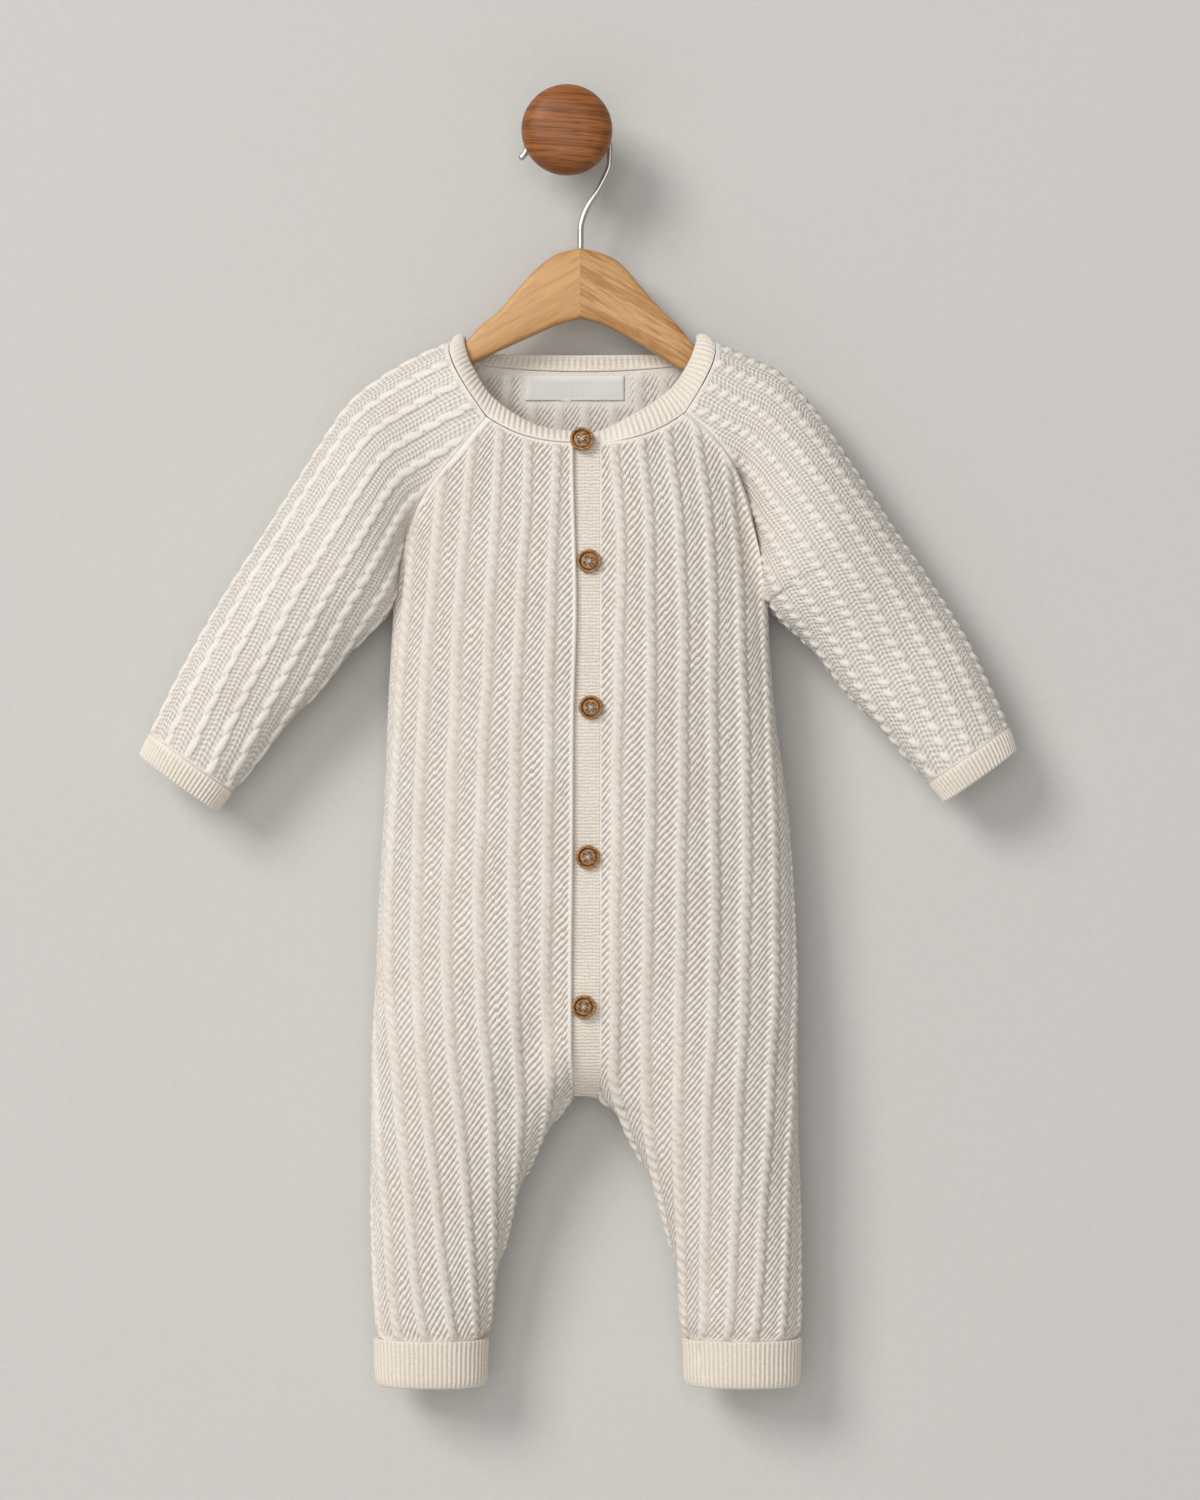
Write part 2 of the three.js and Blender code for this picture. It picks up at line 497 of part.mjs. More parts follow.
// A row of cloth: outer points with the ridges raised, and plain inner points behind them
const OUTER_MARGIN = 1;
const INNER_MARGIN = 4;
function clothRow(samples, { face, offset = 0, relief = 1, fine = false }) {
  const keep = keepers[face] ?? ((point) => point);
  const ends = [samples[0], samples[samples.length - 1]];
  const columns = (steps, margin) => {
    const found = [];
    for (let ridge = -10; ridge <= 10; ridge += 1) {
      for (const step of steps) found.push(pick(samples, ridge - offset + step));
    }
    const between = found.filter(({ t, edge }) => t > ends[0].t && t < ends[1].t && edge > margin);
    return [ends[0], ...between, ends[1]];
  };
  const height = ({ t, edge }) => {
    const crest = clamp01(1 - Math.abs(t + offset - Math.round(t + offset)) / CLOTH.ridgeHalf);
    return CLOTH.ridge * crest * relief * smooth((edge - 1.5) / CLOTH.fade);
  };
  const three = [-CLOTH.ridgeHalf, 0, CLOTH.ridgeHalf];
  const outer = columns(three, OUTER_MARGIN).map((found) => ({
    t: found.t,
    point: keep(found.point.clone().addScaledVector(found.normal, height(found))),
  }));
  const inner = columns(fine ? three : [0], fine ? OUTER_MARGIN : INNER_MARGIN).map((found) => ({
    t: found.t,
    point: keep(found.point.clone().addScaledVector(found.normal, -CLOTH.wall)),
  }));
  return { outer, inner };
}

// Triangles between two lines of points, always taking the nearer next point
function zip(faces, upper, lower) {
  let i = 0;
  let j = 0;
  while (i < upper.length - 1 || j < lower.length - 1) {
    const takeUpper = j === lower.length - 1 || (i < upper.length - 1 && upper[i + 1].t <= lower[j + 1].t);
    if (takeUpper) {
      faces.push([upper[i].point, upper[i + 1].point, lower[j].point]);
      i += 1;
    } else {
      faces.push([upper[i].point, lower[j + 1].point, lower[j].point]);
      j += 1;
    }
  }
}

// A wall from rows of outer and inner points, with rims at its sides, top and bottom where wanted
function wallFaces(rows, { rims = () => true, top = true, bottom = true } = {}) {
  const faces = [];
  for (let i = 0; i < rows.length - 1; i += 1) {
    zip(faces, rows[i].outer, rows[i + 1].outer);
    const inner = [];
    zip(inner, rows[i].inner, rows[i + 1].inner);
    inner.forEach(([a, b, c]) => faces.push([a, c, b]));
    if (!rims(i)) continue;
    const edge = (place) => [rows[i].outer, rows[i + 1].outer, rows[i + 1].inner, rows[i].inner].map((line) => line.at(place).point);
    const [a, b, c, d] = edge(0);
    faces.push([a, b, c], [a, c, d]);
    const [e, f, g, h] = edge(-1);
    faces.push([f, e, h], [f, h, g]);
  }
  if (top) zip(faces, rows[0].inner, rows[0].outer);
  const last = rows[rows.length - 1];
  if (bottom) zip(faces, last.outer, last.inner);
  return faces;
}

// A closed tube of rings; with loop, the last ring joins the first, and else both ends are capped
function ringFaces(all, loop) {
  const faces = [];
  for (let i = 0; i < all.length - (loop ? 0 : 1); i += 1) zip(faces, all[i], all[(i + 1) % all.length]);
  if (loop) return faces;
  const cap = (line, flip) => {
    const middle = line.slice(1).reduce((sum, found) => sum.add(found.point), new THREE.Vector3()).divideScalar(line.length - 1);
    for (let i = 0; i < line.length - 1; i += 1) {
      const [a, b] = flip ? [line[i + 1].point, line[i].point] : [line[i].point, line[i + 1].point];
      faces.push([b, a, middle]);
    }
  };
  cap(all[0], false);
  cap(all[all.length - 1], true);
  return faces;
}

// One closed geometry with shared vertices, no slivers of no area, and its faces pointing out
function solid(faces) {
  const positions = new Float32Array(faces.flat().flatMap((point) => point.toArray()));
  const loose = new THREE.BufferGeometry();
  loose.setAttribute('position', new THREE.BufferAttribute(positions, 3));
  const merged = mergeVertices(loose, 1e-3);
  const index = merged.index.array;
  const kept = [];
  for (let i = 0; i < index.length; i += 3) {
    const [a, b, c] = [index[i], index[i + 1], index[i + 2]];
    if (a !== b && b !== c && a !== c) kept.push([a, b, c]);
  }
  const at = (i) => new THREE.Vector3().fromBufferAttribute(merged.attributes.position, i);
  const volume = kept.reduce((sum, [a, b, c]) => sum + at(a).dot(at(b).cross(at(c))), 0);
  merged.setIndex((volume < 0 ? kept.map(([a, b, c]) => [a, c, b]) : kept).flat());
  return merged;
}

function cut(geometry, tools) {
  const toManifold = (shape) => {
    const clean = mergeVertices(new THREE.BufferGeometry().setAttribute('position', shape.attributes.position).setIndex(shape.index), 1e-4);
    return new wasm.Manifold(new wasm.Mesh({
      numProp: 3,
      vertProperties: new Float32Array(clean.attributes.position.array),
      triVerts: new Uint32Array(clean.index.array),
    }));
  };
  const result = tools.reduce((left, tool) => left.subtract(toManifold(tool)), toManifold(geometry)).getMesh();
  const geometryOut = new THREE.BufferGeometry();
  geometryOut.setAttribute('position', new THREE.BufferAttribute(new Float32Array(result.vertProperties), 3));
  geometryOut.setIndex([...result.triVerts]);
  return geometryOut;
}

// The placket's edge wanders a little, as the knit does
const edgeX = (drop) => BAND.left + 1.6 * Math.exp(-(((drop - 130) / 42) ** 2)) - 0.7 * smooth((drop - 230) / 80);
const hemRelief = (drop) => 1 - smooth((drop - 466) / 10);

// A front panel: its rows run from the raglan seam or the side seam to the placket
function frontPanel(side) {
  const seamX = (drop) => (side === 'left' ? edgeX(drop) - GAP / 2 : BAND.right);
  const placketEnd = (drop) => {
    const line = section('front', side, drop);
    return bodyNormal('front', side, drop, lengthAtX(line, seamX(drop)));
  };
  const raglan = RAGLAN_STATIONS.map((v) => {
    const { frontX, frontDrop } = sleeveAt[side](v);
    const dropAt = v < NECK_REACH ? (x) => rowDrop('front', side, v, x) : undefined;
    const from = v < 1 ? signOf[side] * frontX : undefined;
    const ends = [raglanNormal('front', side, v)];
    const samples = bodySamples({ face: 'front', side, drop: frontDrop, dropAt, from, to: seamX(frontDrop), ends });
    return clothRow(samples, { face: 'front', fine: v === NECK_STATION });
  });
  const torso = [...TORSO_DROPS, CROTCH.drop].map((drop) => {
    const ends = [edgeNormal(side, drop), drop === CROTCH.drop ? edgeNormal(side, drop, true) : placketEnd(drop)];
    return clothRow(bodySamples({ face: 'front', side, drop, to: seamX(drop), ends }), { face: 'front' });
  });
  return solid(wallFaces([...raglan, ...torso, ...legRows('front', side)]));
}

function legRows(face, side) {
  return LEG_DROPS.map((drop) => {
    const ends = [edgeNormal(side, drop), edgeNormal(side, drop, true)];
    return clothRow(bodySamples({ face, side, drop, ends }), { face, relief: hemRelief(drop) });
  });
}

// The back is one piece: rows right across, and below the crotch a row for each leg
function backPanel() {
  const across = (parts) => ({
    outer: parts.flatMap((part, i) => part.outer.slice(i ? 1 : 0)),
    inner: parts.flatMap((part, i) => part.inner.slice(i ? 1 : 0)),
  });
  const middle = (drop) => {
    const normals = ['left', 'right'].map((side) => bodyNormal('back', side, drop, section('back', side, drop).total - 1));
    return drop === CROTCH.drop ? new THREE.Vector3(0, 0, -1) : normals[0].add(normals[1]).normalize();
  };
  const halves = (rowOf) => across(['left', 'right'].map(rowOf));
  const raglan = RAGLAN_STATIONS.map((v) => halves((side) => {
    const { backX, backDrop } = sleeveAt[side](v);
    const dropAt = v < NECK_REACH ? (x) => rowDrop('back', side, v, x) : undefined;
    const from = v < 1 ? signOf[side] * backX : undefined;
    const place = dropAt ? dropAt(0) : backDrop;
    const ends = [raglanNormal('back', side, v), middle(place)];
    const samples = bodySamples({ face: 'back', side, drop: backDrop, dropAt, from, ends, trims: [GAP / 2, 0] });
    return clothRow(evened(samples, side), { face: 'back', fine: v === NECK_STATION });
  }));
  const torso = TORSO_DROPS.map((drop) => halves((side) => {
    const ends = [edgeNormal(side, drop), middle(drop)];
    const samples = bodySamples({ face: 'back', side, drop, ends, trims: [GAP / 2, 0] });
    return clothRow(evened(samples, side), { face: 'back' });
  }));
  const crotch = ['left', 'right'].map((side) => {
    const ends = [edgeNormal(side, CROTCH.drop), new THREE.Vector3(0, 0, -1)];
    const trims = [GAP / 2, 0];
    return clothRow(bodySamples({ face: 'back', side, drop: CROTCH.drop, to: LEGS[0][side], ends, trims }), { face: 'back' });
  });
  const saddle = { outer: [crotch[0].outer.at(-1), crotch[1].outer[0]], inner: [crotch[0].inner.at(-1), crotch[1].inner[0]] };
  const faces = wallFaces([...raglan, ...torso, across([crotch[0], saddle, crotch[1]])], { bottom: false });
  faces.push(...wallFaces([crotch[0], ...legRows('back', 'left')], { top: false }));
  faces.push(...wallFaces([crotch[1], ...legRows('back', 'right')], { top: false }));
  zip(faces, saddle.outer, saddle.inner);
  return solid(faces);
}

// Both halves of a back row meet in one point: t is stretched to 0 there
function evened(samples, side) {
  const middle = side === 'left' ? samples.at(-1) : samples[0];
  const rim = side === 'left' ? samples[0] : samples.at(-1);
  const shift = middle.t;
  const span = rim.t - shift;
  samples.forEach((sample) => { sample.t -= (shift * (rim.t - sample.t)) / span; });
  samples.forEach((sample) => { sample.edge = Math.abs(sample.t - middle.t) < 0.5 ? Math.max(sample.edge, 9) : sample.edge; });
  middle.point.x = 0;
  return samples;
}

// The band with the buttons: a plain strip that lies lower than the left front and runs on beneath it
function bandPanel() {
  const drops = [NECK.front.middle + 0.25, 62, 76, 95, 118, ...TORSO_DROPS, CROTCH.drop];
  const rows = drops.map((drop) => {
    const under = LAP.under * (1 - smooth((drop - LAP.from) / (LAP.flush - LAP.from)));
    const left = edgeX(drop) + GAP / 2 - under;
    const right = BAND.right - mix(GAP / 2, 0.5, smooth((drop - 350) / 12));
    const depth = lapAt(BAND.right, drop);
    const outer = [];
    const inner = [];
    for (const share of [0, 0.25, 0.5, 0.75, 1]) {
      const x = mix(left, right, share);
      const side = x < CROTCH_MIDDLE * smooth((drop - 326) / 40) ? 'left' : 'right';
      const line = section('front', side, drop);
      const length = lengthAtX(line, x);
      const normal = drop === CROTCH.drop ? new THREE.Vector3(0, 0, -1) : bodyNormal('front', side, drop, length);
      const base = pointAlong(line, length).addScaledVector(normal, -depth);
      outer.push({ t: share, point: keepers.front(base.clone()) });
      inner.push({ t: share, point: keepers.front(base.addScaledVector(normal, -CLOTH.wall)) });
    }
    return { outer, inner };
  });
  return solid(wallFaces(rows));
}

function sleeve(side) {
  const stations = [...RAGLAN_STATIONS, ...SLEEVE_STATIONS];
  const relief = (v) => 1 - 0.9 * smooth((v - 1.93) / 0.07);
  const rows = stations.map((v) => clothRow(ringSamples(side, v), { offset: 0.5, relief: relief(v), fine: v === NECK_STATION }));
  return solid(wallFaces(rows, { rims: (i) => i < RAGLAN_STATIONS.length - 1 }));
}

// The neck seam each side at p, and the cloth's direction there
function neckSeam(side, p) {
  const sign = signOf[side];
  if (p >= 1 && p <= 3) {
    const line = ring(side, 0);
    const length = p < 2 ? mix(0, line.topLength, p - 1) : mix(line.topLength, line.total, p - 2);
    return { point: pointAlong(line, length), normal: ringNormal(side, 0, length) };
  }
  const face = p < 1 ? 'front' : 'back';
  const share = p < 1 ? p : 4 - p;
  const x = sign * sleeveAt[side](0)[`${face}X`] * share;
  const drop = rowDrop(face, side, 0, x);
  const line = section(face, side, drop);
  const length = lengthAtX(line, x);
  return { point: pointAlong(line, length), normal: bodyNormal(face, side, drop, length) };
}

const neckEdgeAt = { left: track(NECK_EDGE.left, 'p'), right: track(NECK_EDGE.right, 'p') };

// Round the neck from the left front's edge over the back and on beneath that edge
function neckPath() {
  const start = Math.abs(BAND.left - GAP) / sleeveAt.left(0).frontX;
  const stations = [];
  const steps = 26;
  for (let i = 0; i <= 4 * steps; i += 1) stations.push({ side: 'left', p: mix(start, 4, i / (4 * steps)) });
  for (let i = 1; i <= 4 * steps; i += 1) stations.push({ side: 'right', p: mix(4, 0, i / (4 * steps)) });
  for (let i = 1; i <= 6; i += 1) stations.push({ side: 'left', p: (i / 6) * (LAP.under - 4) / sleeveAt.left(0).frontX, under: true });
  const places = stations.map(({ side, p, under }) => {
    const seam = neckSeam(side, p);
    const found = neckEdgeAt[side](p);
    const edge = new THREE.Vector3(signOf[side] * found.x, -found.y, -found.drop);
    const lap = under ? LAP.depth : side === 'right' && p < 1 ? lapAt(seam.point.x, 50) : 0;
    return { ...seam, edge, lap };
  });
  places.forEach((place, i) => {
    const before = places[Math.max(0, i - 1)].point;
    const after = places[Math.min(places.length - 1, i + 1)].point;
    place.lean = after.clone().sub(before).cross(place.edge.clone().sub(place.point)).normalize();
    if (place.lean.dot(place.normal) < 0) place.lean.negate();
  });
  for (const place of places) {
    place.point.addScaledVector(place.normal, -place.lap);
    place.edge.addScaledVector(place.lean, -place.lap);
  }
  const line = measured(places.map(({ point }) => point));
  return { places, line };
}

const NECK_RISE = [0.02, 0.22, 0.76, 1];
function neckband() {
  const { places, line } = neckPath();
  const placeAt = (length) => {
    let i = 0;
    while (i < places.length - 2 && length > line.lengths[i + 1]) i += 1;
    const f = clamp01((length - line.lengths[i]) / (line.lengths[i + 1] - line.lengths[i]));
    const blend = (name) => places[i][name].clone().lerp(places[i + 1][name], f);
    return { point: blend('point'), normal: blend('normal').normalize(), edge: blend('edge'), lean: blend('lean').normalize() };
  };
  const count = Math.round(line.total / RIB.neckPitch);
  const row = (rise, ribbed) => {
    const steps = ribbed ? 2 * count : Math.round(count / 2);
    const outer = [];
    const inner = [];
    for (let i = 0; i <= steps; i += 1) {
      const place = placeAt((line.total * i) / steps);
      const normal = place.normal.clone().lerp(place.lean, clamp01(rise / 0.3)).normalize();
      const rib = ribbed && i % 2 ? RIB.height * smooth(Math.min(rise, 1 - rise) / 0.2) : 0;
      const point = place.point.clone().lerp(place.edge, rise).addScaledVector(place.lean, 0.9 * Math.sin(Math.PI * rise) + rib);
      outer.push({ t: i / steps, point });
      inner.push({ t: i / steps, point: point.clone().addScaledVector(normal, -RIB.wall - rib) });
    }
    return { outer, inner };
  };
  const rows = NECK_RISE.map((rise) => {
    const plain = row(rise, false);
    return { outer: rise > 0.1 && rise < 0.9 ? row(rise, true).outer : plain.outer, inner: plain.inner };
  });
  return solid(wallFaces(rows));
}

// A rib cuff on the sleeve's end
function sleeveCuff(side) {
  const rows = [2.024, 2.12, 2.88, 3].map((v) => {
    const line = ring(side, v);
    const count = Math.round(ring(side, 2.5).total / RIB.cuffPitch);
    const at = (share, depth) => {
      const length = share * line.total;
      const here = length % line.total;
      return pointAlong(line, here).addScaledVector(ringNormal(side, v, here), -depth);
    };
    const outer = [];
    const inner = [];
    const ribbed = v > 2.05 && v < 2.95;
    const inset = v > 2.95 ? 0.5 : 0;
    const steps = ribbed ? 2 * count : 26;
    for (let i = 0; i <= steps; i += 1) {
      outer.push({ t: i / steps, point: at(i / steps, inset - (ribbed && i % 2 ? RIB.height : 0)) });
    }
    for (let i = 0; i <= 16; i += 1) inner.push({ t: i / 16, point: at(i / 16, RIB.wall - inset * 0.4) });
    return { outer, inner };
  });
  return solid(wallFaces(rows, { rims: () => false }));
}

// A turned-up rib cuff: offset is measured outwards from the leg's outside
const TURN_UP = [
  { offset: 2.3, drop: 482.2, ribs: 0 },
  { offset: 2.8, drop: 483.2, ribs: 1 },
  { offset: 2.6, drop: 502, ribs: 1 },
  { offset: 1.5, drop: 504.4, ribs: 0 },
  { offset: 0, drop: 505, ribs: 0 },
  { offset: -2, drop: 503, ribs: 0 },
  { offset: -2, drop: LEG_END + GAP, ribs: 0 },
  { offset: -0.1, drop: LEG_END + GAP, ribs: 0 },
  { offset: -0.1, drop: 502, ribs: 0 },
  { offset: 0.45, drop: 502, ribs: 0 },
  { offset: 0.45, drop: 482.6, ribs: 0 },
];
function legCuff(side) {
  const outline = (drop) => {
    const front = section('front', side, drop).points;
    const back = [...section('back', side, drop).points].reverse();
    return measured([...front, ...back.slice(1)]);
  };
  const at = (line, share, offset) => {
    const length = (share % 1) * line.total;
    const wrap = (value) => (value + line.total) % line.total;
    const around = pointAlong(line, wrap(length + 1.5)).sub(pointAlong(line, wrap(length - 1.5)));
    const normal = new THREE.Vector3(around.y, -around.x, 0).normalize().multiplyScalar(-signOf[side]);
    return pointAlong(line, length).addScaledVector(normal, offset);
  };
  const count = Math.round(outline(494).total / RIB.cuffPitch);
  const all = TURN_UP.map(({ offset, drop, ribs }) => {
    const line = outline(drop);
    const steps = ribs ? 2 * count : 28;
    const points = [];
    for (let i = 0; i <= steps; i += 1) {
      points.push({ t: i / steps, point: at(line, i / steps, offset + (i % 2 ? RIB.height * ribs : 0)) });
    }
    return points;
  });
  return solid(ringFaces(all, true));
}

// A blank label on the inside of the back, just below the neckband
function neckLabel() {
  const rows = [LABEL.top, (LABEL.top + LABEL.bottom) / 2, LABEL.bottom].map((drop) => {
    const outer = [];
    const inner = [];
    for (const x of [LABEL.left, -16, -4, 8, LABEL.right]) {
      const side = x < 0 ? 'left' : 'right';
      const line = section('back', side, drop);
      const length = lengthAtX(line, x);
      const normal = bodyNormal('back', side, drop, length);
      const base = pointAlong(line, length);
      outer.push({ t: x, point: base.clone().addScaledVector(normal, -CLOTH.wall - 0.35) });
      inner.push({ t: x, point: base.addScaledVector(normal, -CLOTH.wall - 0.35 - LABEL.thick) });
    }
    return { outer, inner };
  });
  return solid(wallFaces(rows));
}

// A wooden button with a rim, a hollow face and four holes, its back against the cloth
function button({ x, drop, sink }) {
  const { radius, thick, segments, holeRadius, holeOffset } = BUTTON;
  const profile = [[0, 0], [radius - 0.9, 0], [radius, 0.9], [radius, thick - 0.6], [radius - 0.7, thick], [radius - 1.5, thick], [radius - 2.2, thick - 0.8], [0, thick - 0.8]];
  const lathe = new THREE.LatheGeometry(profile.map(([r, h]) => new THREE.Vector2(r, h)), segments);
  const holes = [45, 135, 225, 315].map((degrees) => {
    const angle = THREE.MathUtils.degToRad(degrees);
    const hole = new THREE.CylinderGeometry(holeRadius, holeRadius, 3 * thick, 5);
    return hole.translate(holeOffset * Math.SQRT2 * Math.cos(angle), 0, holeOffset * Math.SQRT2 * Math.sin(angle));
  });
  const geometry = cut(lathe, holes);
  const side = x < 0 ? 'left' : 'right';
  const line = section('front', side, drop);
  const axis = bodyNormal('front', side, drop, lengthAtX(line, x)).setX(0).normalize();
  const centre = pointAlong(line, lengthAtX(line, x));
  let height = -99;
  for (let turn = 0; turn < 24; turn += 1) {
    for (const reach of [0, 0.5, 1]) {
      const around = (turn / 24) * 2 * Math.PI;
      const px = x + radius * reach * Math.cos(around);
      const pd = drop + radius * reach * Math.sin(around);
      const surface = section('front', px < 0 ? 'left' : 'right', Math.max(pd, 30));
      const point = pointAlong(surface, lengthAtX(surface, px));
      const lap = px > edgeX(pd) ? lapAt(Math.max(px, BAND.right), pd) : -0.2;
      const inBand = pd < NECK.front.middle ? 1.4 : 0;
      height = Math.max(height, point.sub(centre).dot(axis) - lap + inBand);
    }
  }
  const frame = new THREE.Quaternion().setFromUnitVectors(new THREE.Vector3(0, 1, 0), axis);
  geometry.applyQuaternion(frame);
  const place = centre.addScaledVector(axis, height + GAP - sink);
  return geometry.translate(place.x, place.y, place.z);
}

// Half of the hanger: rounded sections from the middle joint to the arm's end
function hangerHalf(side) {
  const sign = signOf[side];
  const around = [];
  for (let i = 0; i < 16; i += 1) {
    const angle = (2 * Math.PI * (i + 0.5)) / 16;
    const round = (value) => Math.sign(value) * Math.abs(value) ** HANGER.corner;
    around.push([round(Math.cos(angle)), round(Math.sin(angle))]);
  }
  around.push(around[0]);
  const all = ARMS[side].map(({ x, top, bottom, thick }) => around.map(([across, up], i) => ({
    t: i,
    point: new THREE.Vector3(
      HANGER.x + sign * (x === 0 ? 0.15 : x),
      -SHOULDER_DEPTH + (across * thick) / 2,
      -mix(top, bottom, (1 - up) / 2),
    ),
  })));
  const drill = new THREE.CylinderGeometry(WIRE.radius + GAP, WIRE.radius + GAP, 26, 12);
  drill.rotateX(Math.PI / 2);
  drill.translate(WIRE.shankX - ROMPER.x, -SHOULDER_DEPTH, -ARMS.left[0].top);
  return cut(solid(ringFaces(all, false)), [drill]);
}

// The wire hook: most of a circle over the knob's stem, then a bend into the shank
function hook() {
  const middle = [];
  for (let degrees = 183; degrees >= 0; degrees -= 12.2) {
    const angle = THREE.MathUtils.degToRad(degrees);
    middle.push(new THREE.Vector3(WIRE.loopX + WIRE.loop * Math.cos(angle), -SHOULDER_DEPTH, WIRE.loopZ + WIRE.loop * Math.sin(angle)));
  }
  for (const { x, drop } of SHANK) middle.push(new THREE.Vector3(x, -SHOULDER_DEPTH, -drop));
  const curve = new THREE.CatmullRomCurve3(middle, false, 'centripetal');
  const steps = 28;
  const all = [];
  for (let i = 0; i <= steps; i += 1) {
    const tangent = curve.getTangentAt(i / steps);
    const side = new THREE.Vector3(0, 1, 0);
    const up = tangent.clone().cross(side).normalize();
    const radius = i === 0 ? WIRE.radius * 0.6 : WIRE.radius;
    const line = [];
    for (let k = 0; k <= 7; k += 1) {
      const angle = (2 * Math.PI * k) / 7;
      const point = curve.getPointAt(i / steps).addScaledVector(side, radius * Math.cos(angle));
      line.push({ t: k, point: point.addScaledVector(up, radius * Math.sin(angle)) });
    }
    all.push(line);
  }
  return solid(ringFaces(all, false));
}

// The turned knob: a stem from the wall and a rounded head
function knob() {
  const { radius, stemRadius, stem, depth } = KNOB;
  const profile = [
    [0, 0], [stemRadius + 1.5, 0], [stemRadius + 1.5, 2], [stemRadius, 4], [stemRadius, stem], [stemRadius + 3, stem + 1.5],
    [radius - 2, stem + 5.5], [radius, stem + 11], [radius - 0.8, depth - 6.5], [radius - 4, depth - 2.6],
    [radius - 10, depth - 0.5], [0, depth],
  ];
  const lathe = new THREE.LatheGeometry(profile.map(([r, y]) => new THREE.Vector2(r, y)), 20);
  return cut(lathe.rotateX(Math.PI), []);
}

const materials = Object.fromEntries(Object.entries({
  knit: { color: COLOURS.knit, roughness: 0.9, metalness: 0 },
  rib: { color: COLOURS.rib, roughness: 0.9, metalness: 0 },
  wood: { color: COLOURS.wood, roughness: 0.5, metalness: 0 },
  wire: { color: COLOURS.wire, roughness: 0.35, metalness: 1 },
  button: { color: COLOURS.button, roughness: 0.45, metalness: 0 },
  label: { color: COLOURS.label, roughness: 0.7, metalness: 0 },
}).map(([name, values]) => [name, new THREE.MeshStandardMaterial(values)]));

function add(parent, name, geometry, material) {
  const mesh = new THREE.Mesh(geometry, materials[material]);
  mesh.name = name;
  parent.add(mesh);
}

const group = new THREE.Group();
const romper = new THREE.Group();
romper.position.set(ROMPER.x, 0, ROMPER.z);
group.add(romper);

add(group, 'wall_knob', knob(), 'wood');
add(group, 'hanger_hook', hook(), 'wire');
add(romper, 'back', backPanel(), 'knit');
add(romper, 'button_band', bandPanel(), 'knit');
add(romper, 'neckband', neckband(), 'rib');
add(romper, 'neck_label', neckLabel(), 'label');
for (const side of ['left', 'right']) {
  add(romper, `hanger_half_${side}`, hangerHalf(side), 'wood');
  add(romper, `front_${side}`, frontPanel(side), 'knit');
  add(romper, `sleeve_${side}`, sleeve(side), 'knit');
  add(romper, `sleeve_cuff_${side}`, sleeveCuff(side), 'rib');
  add(romper, `leg_cuff_${side}`, legCuff(side), 'rib');
}
BUTTONS.forEach((place, i) => add(romper, `button_${i + 1}`, button(place), 'button'));

export default group;
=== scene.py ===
"""Cable-knit baby romper on a small wooden hanger, hung from a round wall knob.

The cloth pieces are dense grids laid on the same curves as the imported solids, with the cables,
stitches, ribs and creases raised in their points. Lengths are millimetres until a mesh is made.
"""
import math

import bpy
import numpy as np
from mathutils import Matrix, Vector


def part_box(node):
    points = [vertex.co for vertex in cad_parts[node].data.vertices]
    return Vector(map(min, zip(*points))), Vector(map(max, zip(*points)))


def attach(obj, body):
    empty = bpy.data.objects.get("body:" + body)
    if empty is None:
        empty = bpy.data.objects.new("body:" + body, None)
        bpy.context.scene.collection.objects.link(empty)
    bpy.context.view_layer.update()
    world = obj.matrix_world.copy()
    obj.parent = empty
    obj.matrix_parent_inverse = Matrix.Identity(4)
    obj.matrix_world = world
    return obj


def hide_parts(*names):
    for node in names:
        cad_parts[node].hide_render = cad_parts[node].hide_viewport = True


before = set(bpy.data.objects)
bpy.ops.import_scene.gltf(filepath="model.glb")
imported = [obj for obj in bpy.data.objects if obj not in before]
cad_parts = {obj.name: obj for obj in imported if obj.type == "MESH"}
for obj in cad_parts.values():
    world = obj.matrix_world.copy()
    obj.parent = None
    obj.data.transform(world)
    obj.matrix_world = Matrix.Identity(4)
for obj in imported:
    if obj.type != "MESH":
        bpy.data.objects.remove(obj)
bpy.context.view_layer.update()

bl_info = {
    "name": "Knitted Baby Romper",
    "version": (1, 0, 0),
    "blender": (4, 5, 0),
    "location": "View3D > Sidebar > Romper",
    "description": "Builds a cable-knit romper on a wooden hanger over its packed solids",
    "category": "Object",
}

MM = 0.001
GAP = 0.08  # between sewn pieces, whose yarn all but touches
WALL = 2.0
ROMPER = {"x": 7.7, "z": -96.0}  # centre line and neck point from the knob's middle
SIDE_DEPTH = 29.0
SHOULDER_DEPTH = 26.0
CROTCH_DROP, CROTCH_GROOVE = 366.7, 40.0
LEG_END = 492.0
LAP = {"depth": 2.45, "width": 18.0, "under": 10.0, "from": 320.0, "flush": 341.0}
BAND_LEFT, BAND_RIGHT = -4.3, 8.0
RIDGE_NUMBER = 4
RIDGE_PITCH = 15.0  # nominal spacing of the body's ridges
SLEEVE_PITCH = 12.6
NECK_BOW = 4.0
ARMHOLE_INSET = {"front": 6.0, "back": 2.5}  # the sleeve is as full as the body is this far in
NECK_REACH = 0.6
FIRST_V = 0.003
SIGN = {"left": -1.0, "right": 1.0}


def table(columns, *rows):
    """A table with named columns, as arrays."""
    return {name: np.array([row[i] for row in rows], float) for i, name in enumerate(columns.split())}


